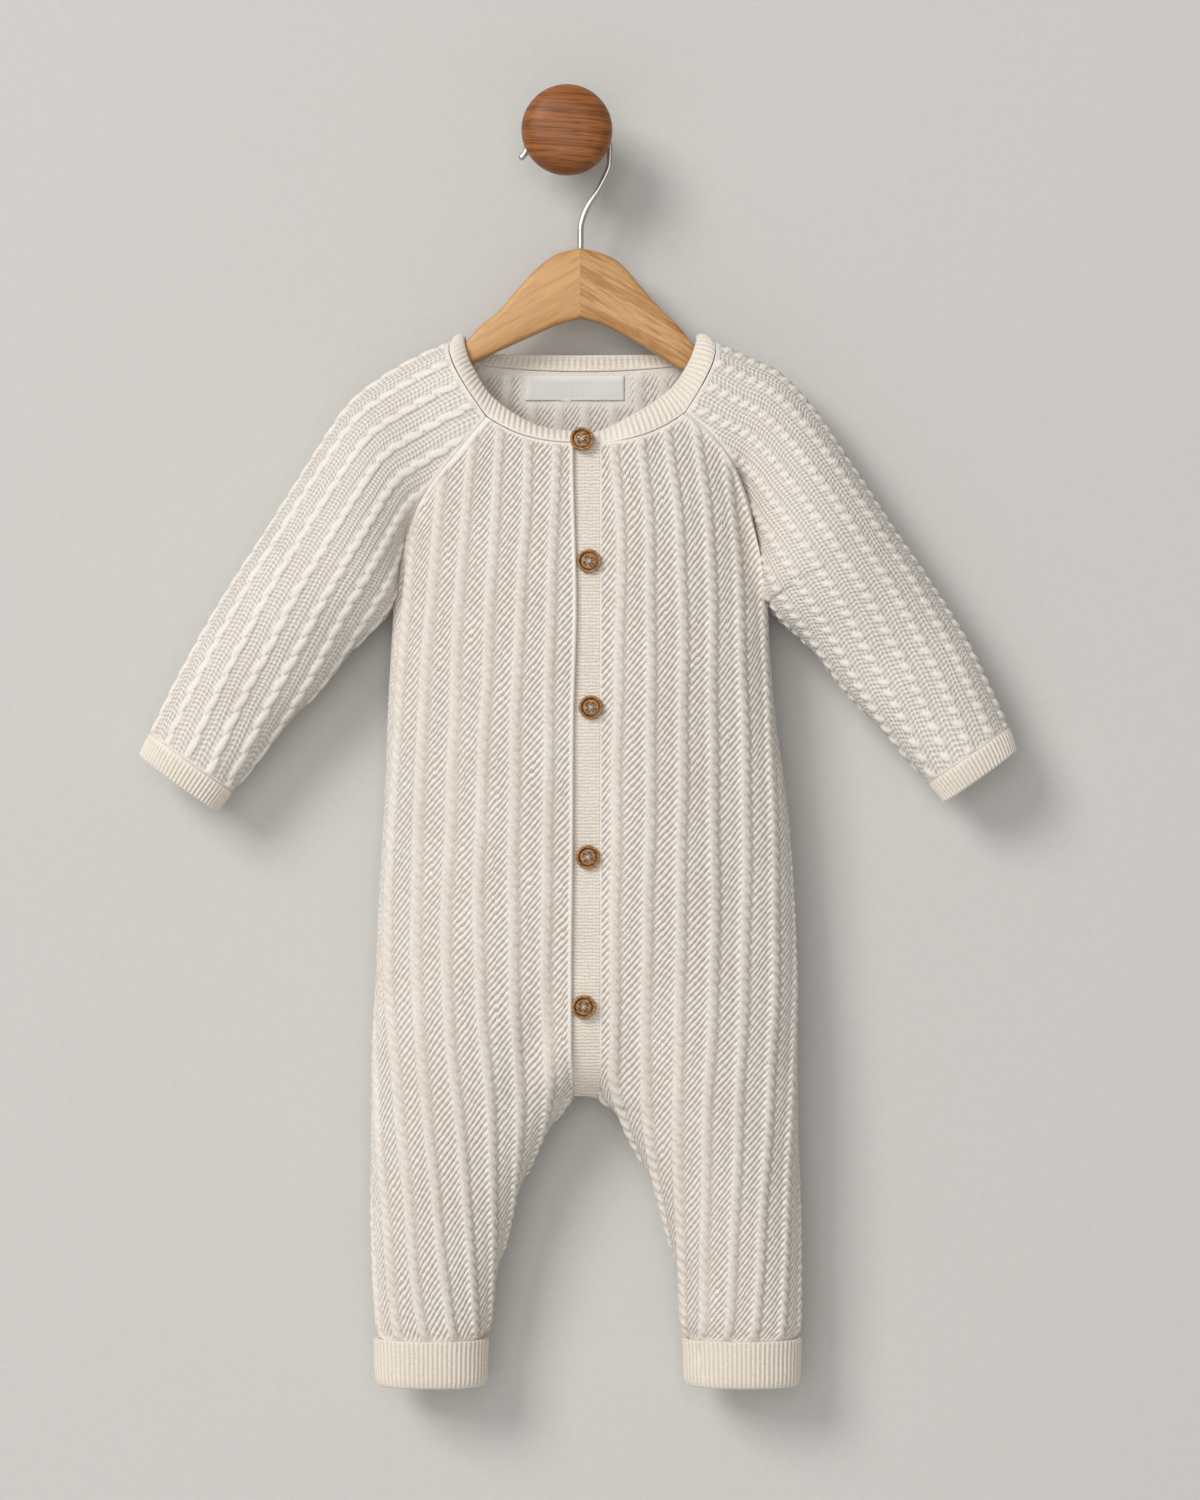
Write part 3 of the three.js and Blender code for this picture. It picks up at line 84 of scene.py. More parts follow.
# Body outline: drop below the neck point, half widths, distance of front and back from the wall,
# where the fourth ridge runs each side, and the ridges' spacing
BODY = table(
    "drop left right front back ridge_left ridge_right pitch",
    (0, 86, 84, 36, 16, 49, 50, 12.6),
    (20, 88, 85, 44, 10.5, 50, 51, 12.8),
    (54, 90, 87, 53, 7, 53, 54, 13.4),
    (90, 91, 88, 57.5, 5.5, 56, 59, 14.2),
    (129, 91, 88.5, 60, 5, 59, 61, 14.8),
    (176, 93.5, 91.5, 61, 5, 61.5, 61.5, 15.3),
    (224, 95.3, 97.5, 61, 5, 63.5, 61.8, 15.7),
    (272, 98.2, 100.6, 60.5, 5, 65.3, 61.8, 16),
    (320, 99.8, 102.5, 59, 5.5, 64.5, 61, 15.7),
    (366.7, 101.7, 103.2, 56, 6.5, 60, 59, 15),
    (416, 101.7, 103.6, 52, 8, 56, 58, 13.9),
    (464, 100.3, 104.2, 49, 9.5, 52.5, 57, 13.4),
    (476, 99.3, 104, 48, 10.5, 51.5, 56.5, 13.3),
    (484, 97.2, 101.6, 45.5, 12.5, 51, 56, 13.2),
    (506, 96.8, 101.4, 45, 13, 51, 56, 13.2),
)
# The arch between the legs: x of each leg's inner edge
LEGS = table(
    "drop left right",
    (366.7, -4.9, 8.3),
    (369, -7, 10.4),
    (373.4, -10.6, 14.6),
    (382.6, -16.4, 20.2),
    (394.6, -23.5, 26.9),
    (416, -32, 36),
    (447, -40.3, 44.2),
    (474, -45, 47.4),
    (484, -48.6, 51),
    (506, -49, 51.4),
)
# Raglan sleeves: v is 0 at the neckband, 1 at the armpit, 2 at the cuff's top and 3 at its end
SLEEVE_COLUMNS = "v front_x front_drop back_x back_drop top_x top_drop depth"
SLEEVE = {
    "left": table(
        SLEEVE_COLUMNS,
        (0, 46, 41, 50, 14, 63, 3.5, 30),
        (0.2, 60, 58, 61, 30, 80, 11, 34),
        (0.4, 71.5, 72, 71, 50, 97, 21, 38),
        (0.6, 80, 86, 79, 72, 113, 34.5, 42),
        (0.8, 86.5, 104, 86, 98, 130, 60, 45),
        (1, 91, 129, 91, 129, 150, 92, 47),
        (1.3, 109, 150, 109, 150, 166.5, 117, 46),
        (1.6, 128, 172.3, 128, 172.3, 182, 142, 43),
        (1.85, 147.5, 194, 147.5, 194, 197, 169.5, 39),
        (2, 168, 219.5, 168, 219.5, 207.6, 191.5, 35),
        (3, 176, 229.6, 176, 229.6, 213, 203, 31),
    ),
    "right": table(
        SLEEVE_COLUMNS,
        (0, 49, 39, 50, 14, 62, 3.5, 30),
        (0.2, 62, 50, 60, 30, 79, 11, 34),
        (0.4, 71, 62, 69, 50, 95.5, 19.5, 38),
        (0.6, 77.5, 78, 77, 72, 112, 37.5, 42),
        (0.8, 83, 99, 83, 98, 129, 63, 45),
        (1, 88.5, 129, 88.5, 129, 148, 92, 47),
        (1.3, 107, 149, 107, 149, 166, 118, 46),
        (1.6, 128, 174, 128, 174, 183, 144.5, 43),
        (1.85, 149, 197, 149, 197, 196.5, 171.5, 39),
        (2, 165.5, 215.5, 165.5, 215.5, 204, 188.5, 35),
        (3, 174, 225.1, 174, 225.1, 208, 200.6, 31),
    ),
}
# Soft troughs: x and drop of the middle, half sizes, lean in x per drop, and depth
FOLD_COLUMNS = "x drop across down lean depth"
FOLDS = {
    "front": table(
        FOLD_COLUMNS,
        (80, 92, 7, 30, 0.2, 6),
        (-86, 112, 6, 22, -0.15, 3.5),
        (-66, 200, 13, 70, -0.1, 2),
        (70, 250, 12, 90, 0.08, 2.2),
        (-24, 345, 11, 38, -0.35, 2.2),
        (32, 352, 12, 42, 0.3, 2),
    ),
    "back": table(
        FOLD_COLUMNS,
        (-40, 230, 16, 80, -0.05, 1.6),
        (36, 190, 15, 85, 0.1, 1.8),
        (4, 330, 12, 40, 0, 1.4),
    ),
}
# The same on the sleeves: v and share of the way round, half sizes, and depth
SLEEVE_FOLD_COLUMNS = "v round length across depth"
SLEEVE_FOLDS = {
    "left": table(SLEEVE_FOLD_COLUMNS, (1.12, 0.12, 0.28, 0.05, 2.6), (1.75, 0.2, 0.2, 0.06, 1.5), (1.4, 0.8, 0.3, 0.07, 1.6)),
    "right": table(SLEEVE_FOLD_COLUMNS, (1.1, 0.14, 0.25, 0.06, 2.4), (1.6, 0.24, 0.22, 0.07, 1.5), (1.35, 0.78, 0.3, 0.07, 1.6)),
}
# The neckband's upper edge each side, from the front (0) over the shoulder (2) to the back (4)
NECK_EDGE = {
    "left": table(
        "p x drop y",
        (0, 0, 48.4, 46.5),
        (0.5, 22.5, 44.6, 45),
        (1, 42.5, 31.6, 41),
        (1.5, 53, 15.5, 36.5),
        (1.75, 56.4, 6.2, 33.6),
        (2, 57.6, 0.2, 26),
        (2.25, 56.4, 4, 18),
        (2.5, 53.5, 7, 15),
        (3, 45, 9, 13),
        (3.5, 24, 9.3, 11.5),
        (4, 0, 9.4, 11),
    ),
    "right": table(
        "p x drop y",
        (0, 0, 48.4, 46.5),
        (0.5, 21.5, 40.8, 45),
        (1, 40.5, 28, 41),
        (1.5, 49.5, 15.5, 36.5),
        (1.75, 53.4, 6.2, 33.6),
        (2, 54.8, 0.2, 26),
        (2.25, 54, 4, 18),
        (2.5, 51.5, 7, 15),
        (3, 44, 9, 13),
        (3.5, 24, 9.3, 11.5),
        (4, 0, 9.4, 11),
    ),
}
NECK = {"front": (53.8, 2.6), "back": (17.0, 2.0)}  # drop of the neckline's middle, and its curve
# Hanger arms from the middle out
ARM_COLUMNS = "x top bottom thick"
ARMS = {
    "left": table(
        ARM_COLUMNS,
        (0, -41, -7.3, 11),
        (11.5, -38, -4, 11),
        (20.5, -31.5, 0, 11),
        (30, -21.5, 4.2, 11),
        (39, -11, 8.4, 11),
        (49.4, -2.2, 13.4, 10.6),
        (56.4, 6, 17, 8.8),
        (63, 10.2, 19.8, 8.4),
        (80, 18, 28, 8),
        (97, 28.6, 38, 8),
        (103, 33.6, 41.6, 7.4),
        (106, 37.4, 41.4, 5),
    ),
    "right": table(
        ARM_COLUMNS,
        (0, -41, -7.3, 11),
        (11.5, -38, -4.2, 11),
        (20.5, -32.5, 0.6, 11),
        (30, -21.5, 6, 11),
        (39, -11.5, 11.6, 11),
        (48, -2.6, 17.4, 10.6),
        (55, 6, 19.6, 8.8),
        (62, 9.8, 22.4, 8.4),
        (79, 17.8, 30, 8),
        (96, 28.2, 38.6, 8),
        (102, 33, 41.8, 7.4),
        (105, 37, 41.4, 5),
    ),
}
HANGER_X = -1.4
# The wire hook: its loop over the knob's stem, then its middle line below (x and drop from the knob)
LOOP = {"radius": 21.0, "x": -0.3, "z": -9.0, "wire": 1.6}
HOOK_END = ((-22.8, 12.3), (-21.7, 11), (-19.9, 8.8), (-18.9, 5))
SHANK = ((20.6, 12), (19.9, 17), (15.8, 25.5), (9.8, 35), (6.8, 43), (6.4, 50), (6.4, 66))
# Turned-up leg cuff: offset out from the leg's outside, drop, and how far the ribs are raised
TURN_UP = table(
    "offset drop ribs",
    (2.3, 482.2, 0),
    (2.62, 482.5, 0.5),
    (2.8, 483.2, 1),
    (2.9, 487, 1),
    (2.9, 492, 1),
    (2.8, 497, 1),
    (2.6, 501, 1),
    (2.1, 503.2, 0.8),
    (1.4, 504.5, 0.5),
    (0.5, 505, 0.3),
    (-0.8, 504.6, 0),
    (-2, 503, 0),
    (-2.1, 498, 0),
    (-2, LEG_END + GAP, 0),
    (-0.1, LEG_END + GAP, 0),
    (-0.1, 502, 0),
    (0.45, 502, 0),
    (0.45, 482.6, 0),
)
BUTTONS = table("x drop", (-0.5, 52.8), (2.9, 110.6), (3.8, 180), (2.4, 251), (0.4, 322))
LABEL = {"left": -28.0, "right": 20.0, "top": 19.0, "bottom": 31.0, "thick": 0.7}
KNOB = {"radius": 22.0, "stem_radius": 10.0, "stem": 29.0, "depth": 53.0}


def clamp01(value):
    return np.clip(value, 0.0, 1.0)


def mix(a, b, f):
    return a + (b - a) * f


def smooth(value):
    value = clamp01(value)
    return value * value * (3 - 2 * value)


def bell(value):
    return np.exp(-value * value)


def track(rows, key):
    """A smooth curve through a table's rows, giving every column at any place along the key."""
    keys = rows[key]
    slopes = {}
    for name, values in rows.items():
        slope = np.gradient(values, keys)
        slope[1:-1] = (values[2:] - values[:-2]) / (keys[2:] - keys[:-2])
        slopes[name] = slope

    def at(place):
        place = np.clip(np.asarray(place, float), keys[0], keys[-1])
        i = np.clip(np.searchsorted(keys, place, side="left") - 1, 0, len(keys) - 2)
        span = keys[i + 1] - keys[i]
        f = (place - keys[i]) / span
        found = {}
        for name, values in rows.items():
            rise = (f * (1 - f) ** 2 * slopes[name][i] - f**2 * (1 - f) * slopes[name][i + 1]) * span
            found[name] = mix(values[i], values[i + 1], f * f * (3 - 2 * f)) + rise
        return found

    return at


body_at = track(BODY, "drop")
legs_at = track(LEGS, "drop")
sleeve_at = {side: track(SLEEVE[side], "v") for side in SIGN}
neck_edge_at = {side: track(NECK_EDGE[side], "p") for side in SIGN}
CROTCH_MIDDLE = (LEGS["left"][0] + LEGS["right"][0]) / 2


def ends_of(side, drop):
    """x of a section's outer and inner ends, with the leg's inner edge."""
    outer = SIGN[side] * body_at(drop)[side]
    towards = clamp01((drop - (CROTCH_DROP - CROTCH_GROOVE)) / CROTCH_GROOVE)
    in_legs = drop > CROTCH_DROP + 1e-3
    leg_inner = legs_at(drop)[side]
    inner = np.where(in_legs, leg_inner, CROTCH_MIDDLE * smooth(towards))
    split = np.where(in_legs, 1.0, towards**3)
    return outer, inner, leg_inner, split


def body_depth(face, side, x, drop):
    """y of the body's outer surface at x and drop."""
    row = body_at(drop)
    outer, inner, leg_inner, split = ends_of(side, drop)
    share = clamp01((x - outer) / (inner - outer))
    leg_share = clamp01((x - outer) / (leg_inner - outer))
    torso = np.sqrt(np.maximum(0, 1 - (1 - share) ** 2.5))
    leg = np.sqrt(np.maximum(0, 1 - np.abs(2 * leg_share - 1) ** 2.3))
    thigh = mix(smooth((drop - 270) / 96.7), split, smooth((leg_share - 0.6) / 0.38))
    fullness = mix(torso, leg, thigh)
    depth = np.zeros(np.broadcast(x, drop).shape)
    folds = FOLDS[face]
    for i in range(len(folds["x"])):
        away = (x - folds["x"][i] - folds["lean"][i] * (drop - folds["drop"][i])) / folds["across"][i]
        along = (drop - folds["drop"][i]) / folds["down"][i]
        depth = depth + folds["depth"][i] * np.exp(-away * away - along * along)
    depth = depth * (1 if face == "front" else -1) * np.minimum(1, fullness * 1.5)
    return -mix(SIDE_DEPTH, row[face], fullness) + depth


class Section:
    """One quarter of the body at a drop, from the side to the middle or the inner leg."""

    def __init__(self, face, side, drop, steps=160):
        outer, inner, _, _ = ends_of(side, drop)
        share = (1 - np.cos(np.pi * np.linspace(0, 1, steps + 1))) / 2
        self.side = side
        self.x = mix(outer, inner, share)
        self.y = body_depth(face, side, self.x, np.full(share.shape, drop))
        self.length = np.concatenate([[0], np.cumsum(np.hypot(np.diff(self.x), np.diff(self.y)))])
        self.total = self.length[-1]

    def length_at(self, x):
        return np.interp(-SIGN[self.side] * np.asarray(x), -SIGN[self.side] * self.x, self.length)

    def x_at(self, length):
        return np.interp(length, self.length, self.x)

    def y_at(self, length):
        return np.interp(length, self.length, self.y)


class LengthMap:
    """Length from the side seam at any x and drop, for rows that don't keep to one drop."""

    def __init__(self, face, side):
        self.side = side
        self.drops = np.arange(0, 141, 1.0)
        self.steps = 96
        turn = np.linspace(0, 1, self.steps + 1)
        outer, inner, _, _ = ends_of(side, self.drops)
        x = mix(outer[:, None], inner[:, None], ((1 - np.cos(np.pi * turn)) / 2)[None])
        y = body_depth(face, side, x, np.repeat(self.drops[:, None], self.steps + 1, 1))
        step = np.hypot(np.diff(x, axis=1), np.diff(y, axis=1))
        self.length = np.concatenate([np.zeros((len(self.drops), 1)), np.cumsum(step, axis=1)], axis=1)

    def at(self, x, drop):
        outer, inner, _, _ = ends_of(self.side, drop)
        share = clamp01((x - outer) / (inner - outer))
        turn = np.arccos(np.clip(1 - 2 * share, -1, 1)) / np.pi * self.steps
        j = np.clip(turn.astype(int), 0, self.steps - 1)
        i = np.clip(np.asarray(drop).astype(int), 0, len(self.drops) - 2)
        f, g = drop - i, turn - j
        upper = mix(self.length[i, j], self.length[i, j + 1], g)
        return mix(upper, mix(self.length[i + 1, j], self.length[i + 1, j + 1], g), f)


def lap_at(x, drop):
    """How much lower the right front and the band lie, so that the left front can lie on them."""
    return LAP["depth"] * (1 - smooth((x - BAND_RIGHT) / LAP["width"])) * (1 - smooth((drop - LAP["flush"]) / 22))


def edge_x(drop):
    """The placket's edge, which wanders a little."""
    drop = np.asarray(drop, float)
    return BAND_LEFT + 1.6 * bell((drop - 130) / 42) - 0.7 * smooth((drop - 230) / 80)


def row_drop(face, side, v, x):
    """Above the armpits the rows bend down towards the neckline's middle."""
    row, corner = sleeve_at[side](v), sleeve_at[side](0)
    middle, curve = NECK[face]
    dip = (middle - corner[face + "_drop"]) * (1 - smooth(v / NECK_REACH))
    share = clamp01(np.abs(x) / row[face + "_x"])
    return row[face + "_drop"] + dip * (1 - share**curve)


def spaced(length, step, margin=(0.3, 0.7, 1.2)):
    """Fractions of a length, even but closer at both ends."""
    count = max(2, int(round((length - 4) / step)))
    inner = np.linspace(2, length - 2, count + 1)
    edge = np.array((0,) + tuple(margin))
    return np.concatenate([edge, inner, length - edge[::-1]]) / length


def raglan_rows(side, step):
    """Values of v from the neckband to the armpit, evenly far apart along the front seam."""
    v = np.linspace(FIRST_V, 1, 400)
    row = sleeve_at[side](v)
    travel = np.concatenate([[0], np.cumsum(np.hypot(np.diff(row["front_x"]), np.diff(row["front_drop"])))])
    return np.interp(spaced(travel[-1], step), travel / travel[-1], v)


def grid_normals(points, outward):
    """Directions across a grid of points, turned to agree with a rough outward direction."""
    across = np.gradient(points, axis=1)
    down = np.gradient(points, axis=0)
    normal = np.cross(across, down)
    normal /= np.maximum(1e-9, np.linalg.norm(normal, axis=2, keepdims=True))
    flip = np.sign(np.sum(normal[len(normal) // 2, points.shape[1] // 2] * outward))
    return normal * (flip if flip else 1)


class Grid:
    """A cloth piece's outer surface before its relief: points, directions and knit coordinates."""


def body_grid(face, side, row_step, column_step, inner_x, trims=(GAP / 2, GAP / 2), to_legs=True):
    """Rows from the raglan seam or side seam to inner_x(drop), and to the inner leg below."""
    lengths = LengthMap(face, side)
    fractions = spaced(112, column_step)
    rows = []
    for v in raglan_rows(side, row_step):
        rows.append((float(v), float(sleeve_at[side](v)[face + "_drop"])))
    armpit = rows[-1][1]
    torso = np.arange(armpit + row_step, CROTCH_DROP - row_step / 2, row_step)
    rows += [(1.0, float(drop)) for drop in torso] + [(1.0, CROTCH_DROP)]
    legs = CROTCH_DROP + 0.01 + spaced(LEG_END - CROTCH_DROP - 0.01, row_step)[1:] * (LEG_END - CROTCH_DROP - 0.01)
    if to_legs:
        rows += [(1.0, float(drop)) for drop in legs]
    grid = Grid()
    shape = (len(rows), len(fractions))
    grid.points, grid.ridge = np.zeros(shape + (3,)), np.zeros(shape)
    grid.outer_edge, grid.inner_edge, grid.drop = np.zeros(shape), np.zeros(shape), np.zeros(shape)
    for i, (v, drop) in enumerate(rows):
        line = Section(face, side, drop)
        row = sleeve_at[side](v)
        start = (line.length_at(SIGN[side] * row[face + "_x"]) if v < 1 else 0) + trims[0]
        end = (line.total if drop > CROTCH_DROP + 1e-3 else line.length_at(inner_x(drop))) - trims[1]
        length = mix(start, end, fractions)
        x = line.x_at(length)
        place = row_drop(face, side, v, x) if v < NECK_REACH else np.full(x.shape, drop)
        body = body_at(place)
        here = lengths.at(x, place) if v < NECK_REACH else length
        fourth = SIGN[side] * body["ridge_" + side]
        ridge_length = lengths.at(fourth, place) if v < NECK_REACH else line.length_at(fourth)
        grid.ridge[i] = SIGN[side] * (RIDGE_NUMBER + (ridge_length - here) / body["pitch"])
        y = body_depth(face, side, x, place) if v < NECK_REACH else line.y_at(length)
        grid.points[i] = np.stack([x, y, -place], axis=1)
        grid.outer_edge[i], grid.inner_edge[i], grid.drop[i] = length - start, end - length, place
    grid.rows = rows
    step = np.linalg.norm(np.diff(grid.points, axis=0), axis=2)
    grid.down = np.concatenate([np.zeros((1, shape[1])), np.cumsum(step, axis=0)])
    grid.up = grid.down[-1] - grid.down
    return grid


def sleeve_seam(face, side, v):
    row = sleeve_at[side](v)
    if v >= 1:
        return np.array([SIGN[side] * row["front_x"], -SIDE_DEPTH, -row["front_drop"]])
    line = Section(face, side, float(row[face + "_drop"]))
    length = line.length_at(SIGN[side] * row[face + "_x"])
    return np.array([line.x_at(length), line.y_at(length), -row[face + "_drop"]])


def sleeve_fullness(face, side, v):
    """How far the sleeve stands forward or back beside the armhole, easing off below the armpit."""
    row = sleeve_at[side](min(v, 1.0))
    line = Section(face, side, float(row[face + "_drop"]))
    y = line.y_at(line.length_at(SIGN[side] * (row[face + "_x"] - ARMHOLE_INSET[face])))
    return float(mix(y, -SIDE_DEPTH, smooth((v - 1) / 0.6)))


def ring_line(side, v, steps=72):
    """A sleeve's ring at v, from the front seam over the shoulder line to the back seam."""
    row = {name: float(value) for name, value in sleeve_at[side](v).items()}
    sign = SIGN[side]
    closing = 1.0 if v >= 1 else float(smooth(v))
    middle = mix(SHOULDER_DEPTH, SIDE_DEPTH, min(1.0, v))
    top = np.array([sign * row["top_x"], -middle, -row["top_drop"]])
    r = np.linspace(0, 1, steps // 2 + 1)
    halves = []
    for face in ("front", "back"):
        start = sleeve_seam(face, side, v)
        bulge = (-1 if face == "front" else 1) * row["depth"] / 2
        bowing = NECK_BOW * (1 - float(smooth(v * 2))) * (1 if face == "front" else 0.4)
        chord = np.array([top[0] - start[0], 0, top[2] - start[2]])
        chord /= np.linalg.norm(chord)
        outward = np.array([chord[2] * sign, 0, -chord[0] * sign])
        quarter = np.pi * r / 2
        along = mix(np.sin(quarter), (1 - np.cos(np.pi * r)) / 2, closing)
        opened = mix(start[1], top[1], 1 - np.cos(quarter))
        full = sleeve_fullness(face, side, v)
        rounded = mix(full, top[1], r) + (start[1] - full) * (1 - r) ** 5 + bulge * np.sin(np.pi * r)
        points = np.stack([mix(start[0], top[0], along), mix(opened, rounded, closing), mix(start[2], top[2], along)], axis=1)
        halves.append(points + outward * (bowing * np.sin(np.pi * r))[:, None])
    points = np.concatenate([halves[0], halves[1][::-1][1:]])
    centre = points.mean(axis=0)
    place = np.arange(steps + 1) / steps
    folds = SLEEVE_FOLDS[side]
    for i in range(len(folds["v"])):
        away = (place - folds["round"][i]) / folds["across"][i]
        along = (v - folds["v"][i]) / folds["length"][i]
        depth = folds["depth"][i] * np.exp(-away * away - along * along) * np.sin(np.pi * place)
        inward = centre - points
        inward /= np.linalg.norm(inward, axis=1, keepdims=True)
        points = points + inward * depth[:, None]
    length = np.concatenate([[0], np.cumsum(np.linalg.norm(np.diff(points, axis=0), axis=1))])
    return points, length, length[steps // 2]


def along_line(points, length, at):
    """Points of a polyline at given lengths."""
    return np.stack([np.interp(at, length, points[:, k]) for k in range(3)], axis=-1)


def sleeve_grid(side, row_step, columns, last=2.012):
    fractions = spaced(160, 160 / columns)
    top = sleeve_at[side](np.linspace(1, last, 200))
    travel = np.concatenate([[0], np.cumsum(np.hypot(np.diff(top["top_x"]), np.diff(top["top_drop"])))])
    tube = np.interp(spaced(travel[-1], row_step)[1:], travel / travel[-1], np.linspace(1, last, 200))
    rows = np.concatenate([raglan_rows(side, row_step), tube])
    grid = Grid()
    shape = (len(rows), len(fractions))
    grid.points, grid.ridge, grid.edge = np.zeros(shape + (3,)), np.zeros(shape), np.zeros(shape)
    for i, v in enumerate(rows):
        points, length, top_length = ring_line(side, float(v), 144)
        trim = GAP / 2 if v < 1 else 0
        at = mix(trim, length[-1] - trim, fractions)
        grid.points[i] = along_line(points, length, at)
        grid.ridge[i] = (at - top_length) / SLEEVE_PITCH
        seam = np.minimum(at, length[-1] - at)
        grid.edge[i] = mix(seam, 20, smooth((v - 1) / 0.12))
    grid.rows = rows
    middle = shape[1] // 2
    step = np.linalg.norm(np.diff(grid.points[:, middle], axis=0), axis=1)
    grid.along = np.repeat(np.concatenate([[0], np.cumsum(step)])[:, None], shape[1], 1)
    grid.first_closed = int(np.argmax(rows >= 1))
    return grid


_grids = {}


def base_grids():
    """The five big panels, with directions that agree at the seams they share."""
    if _grids:
        return _grids
    for side in SIGN:
        seam = (lambda d: edge_x(d) - GAP / 2) if side == "left" else (lambda d: BAND_RIGHT)
        front = body_grid("front", side, 0.92, 0.72, seam)
        front.normal = grid_normals(front.points, np.array([0, -1, 0]))
        lap = lap_at(front.points[..., 0], front.drop) if side == "right" else np.zeros(front.drop.shape)
        front.points[..., 1] += lap
        edge = LEGS[side][0]
        back = body_grid("back", side, 1.5, 1.15, lambda d, e=edge: e, trims=(GAP / 2, 0))
        back.normal = grid_normals(back.points, np.array([0, 1, 0]))
        sleeve = sleeve_grid(side, 0.95, 190)
        sleeve.normal = grid_normals(sleeve.points, np.array([0, 0, 1]))
        closed = slice(sleeve.first_closed, None)
        ends = sleeve.normal[closed, 0] + sleeve.normal[closed, -1]
        ends /= np.linalg.norm(ends, axis=1, keepdims=True)
        sleeve.normal[closed, 0] = sleeve.normal[closed, -1] = ends
        for panel, column, name in ((front, 0, "front"), (back, -1, "back")):
            count = sum(1 for v, _ in panel.rows if v < 1)
            v = np.array([row[0] for row in panel.rows[:count]])
            open_rows = sleeve.rows < 1
            shared = np.stack([
                np.interp(v, sleeve.rows[open_rows], sleeve.normal[open_rows, column, k]) for k in range(3)
            ], axis=1)
            both = shared + panel.normal[:count, 0]
            both /= np.linalg.norm(both, axis=1, keepdims=True)
            blend_edge(panel.normal, both, slice(0, count), 0)
            back_to = np.stack([np.interp(sleeve.rows[open_rows], v, both[:, k]) for k in range(3)], axis=1)
            blend_edge(sleeve.normal, back_to, np.flatnonzero(open_rows), column)
        _grids["front_" + side], _grids["back_" + side], _grids["sleeve_" + side] = front, back, sleeve
    return _grids


def blend_edge(normal, wanted, rows, column, reach=6):
    """Turns a grid's directions towards wanted ones over the few columns next to its edge."""
    for k in range(reach):
        share = 1 - k / reach
        at = column + k if column >= 0 else column - k
        turned = mix(normal[rows, at], wanted, share)
        normal[rows, at] = turned / np.linalg.norm(turned, axis=1, keepdims=True)


def rolled(distance, radius=0.9):
    """How far a cut or sewn edge rolls back within its radius."""
    inside = np.clip(radius - distance, 0, radius)
    return radius - np.sqrt(np.maximum(0, radius**2 - inside**2))


STROKE_ACROSS, STROKE_DOWN = 2.75, 3.45  # spacing of the slanting stitches
ROPE_HEIGHT = 1.7
SEED_ACROSS, SEED_ALONG = 2.1, 2.2  # spacing of the sleeves' dotted stitches


def body_knit(ridge, drop):
    """Height of ropes and stitches, the stitches' coordinates, a mark for raised places, and a mark for the grooves,
    which lie lower and are painted darker as shade.
    """
    number = np.round(ridge)
    wander = 0.024 * np.sin(drop / 33 + 2.1 * number) + 0.014 * np.sin(drop / 11 + 1.3 * number)
    number = np.round(ridge + wander)
    away = (ridge + wander - number) * RIDGE_PITCH
    lobe = 0.5 + 0.5 * np.cos(2 * np.pi * (drop / 5.5 + 0.31 * number - 0.13 * away) + 1.1 * np.sin(drop / 17 + number))
    edge = 2.3 + 1.0 * lobe
    flank = np.sqrt(clamp01(1 - ((away + 0.7) / (edge + 0.7)) ** 2))
    rope = np.where(away < -0.7, smooth((away + 3.6) / 2.9), flank) + 0.14 * bell((away + 1.9) / 0.55)
    # painted shade: the furrow beside one flank of each rope and the dips between its lobes are darkened as well as
    # lowered
    groove_shade = clamp01(bell((away - edge - 0.8) / 0.8) + 0.8 * (1 - lobe) ** 3 * smooth((away + 0.6) / 1.2) * (away < edge + 0.6))
    u = ridge * RIDGE_PITCH + 0.35 * np.sin(drop / 5.3 + 1.7 * number) * np.sin(drop / 19)
    v = drop + 0.45 * np.sin(ridge * 4.4 + drop / 23) + 0.3 * np.sin(drop / 8.1 + 2.3 * number)
    stroke = np.cos(2 * np.pi * (u / STROKE_ACROSS + v / STROKE_DOWN))
    raised = smooth((away + 2.4) / 0.9) * (1 - smooth((away - edge + 0.1) / 0.6))
    loops = 0.5 + 0.5 * np.cos(2 * np.pi * (drop + 0.95 * np.abs(away + 0.5)) / 2.75 + 0.8 * np.sin(drop / 13 + number))
    uneven = 0.65 + 0.35 * np.sin(drop / 7.3 + 2.1 * number) * np.sin(drop / 3.7 + 1.3 * away)
    # painted shade between the loops along the ropes
    groove_shade = np.maximum(groove_shade, 0.62 * raised * (1 - loops) ** 2 * uneven)
    height = ROPE_HEIGHT * rope * (0.64 + 0.36 * lobe) - 0.5 * groove_shade + 0.16 * (1 - raised) * stroke
    height = height + 0.2 * raised * loops * uneven
    return height, np.stack([u, v], axis=-1), raised, groove_shade


# The sleeves' cables are chains of lobes: spacing along, half length, half width, slant and height
LOBES = {"left": (10.2, 6.3, 2.1, 14.0, 0.95), "right": (6.2, 3.7, 1.7, 56.0, 0.7)}


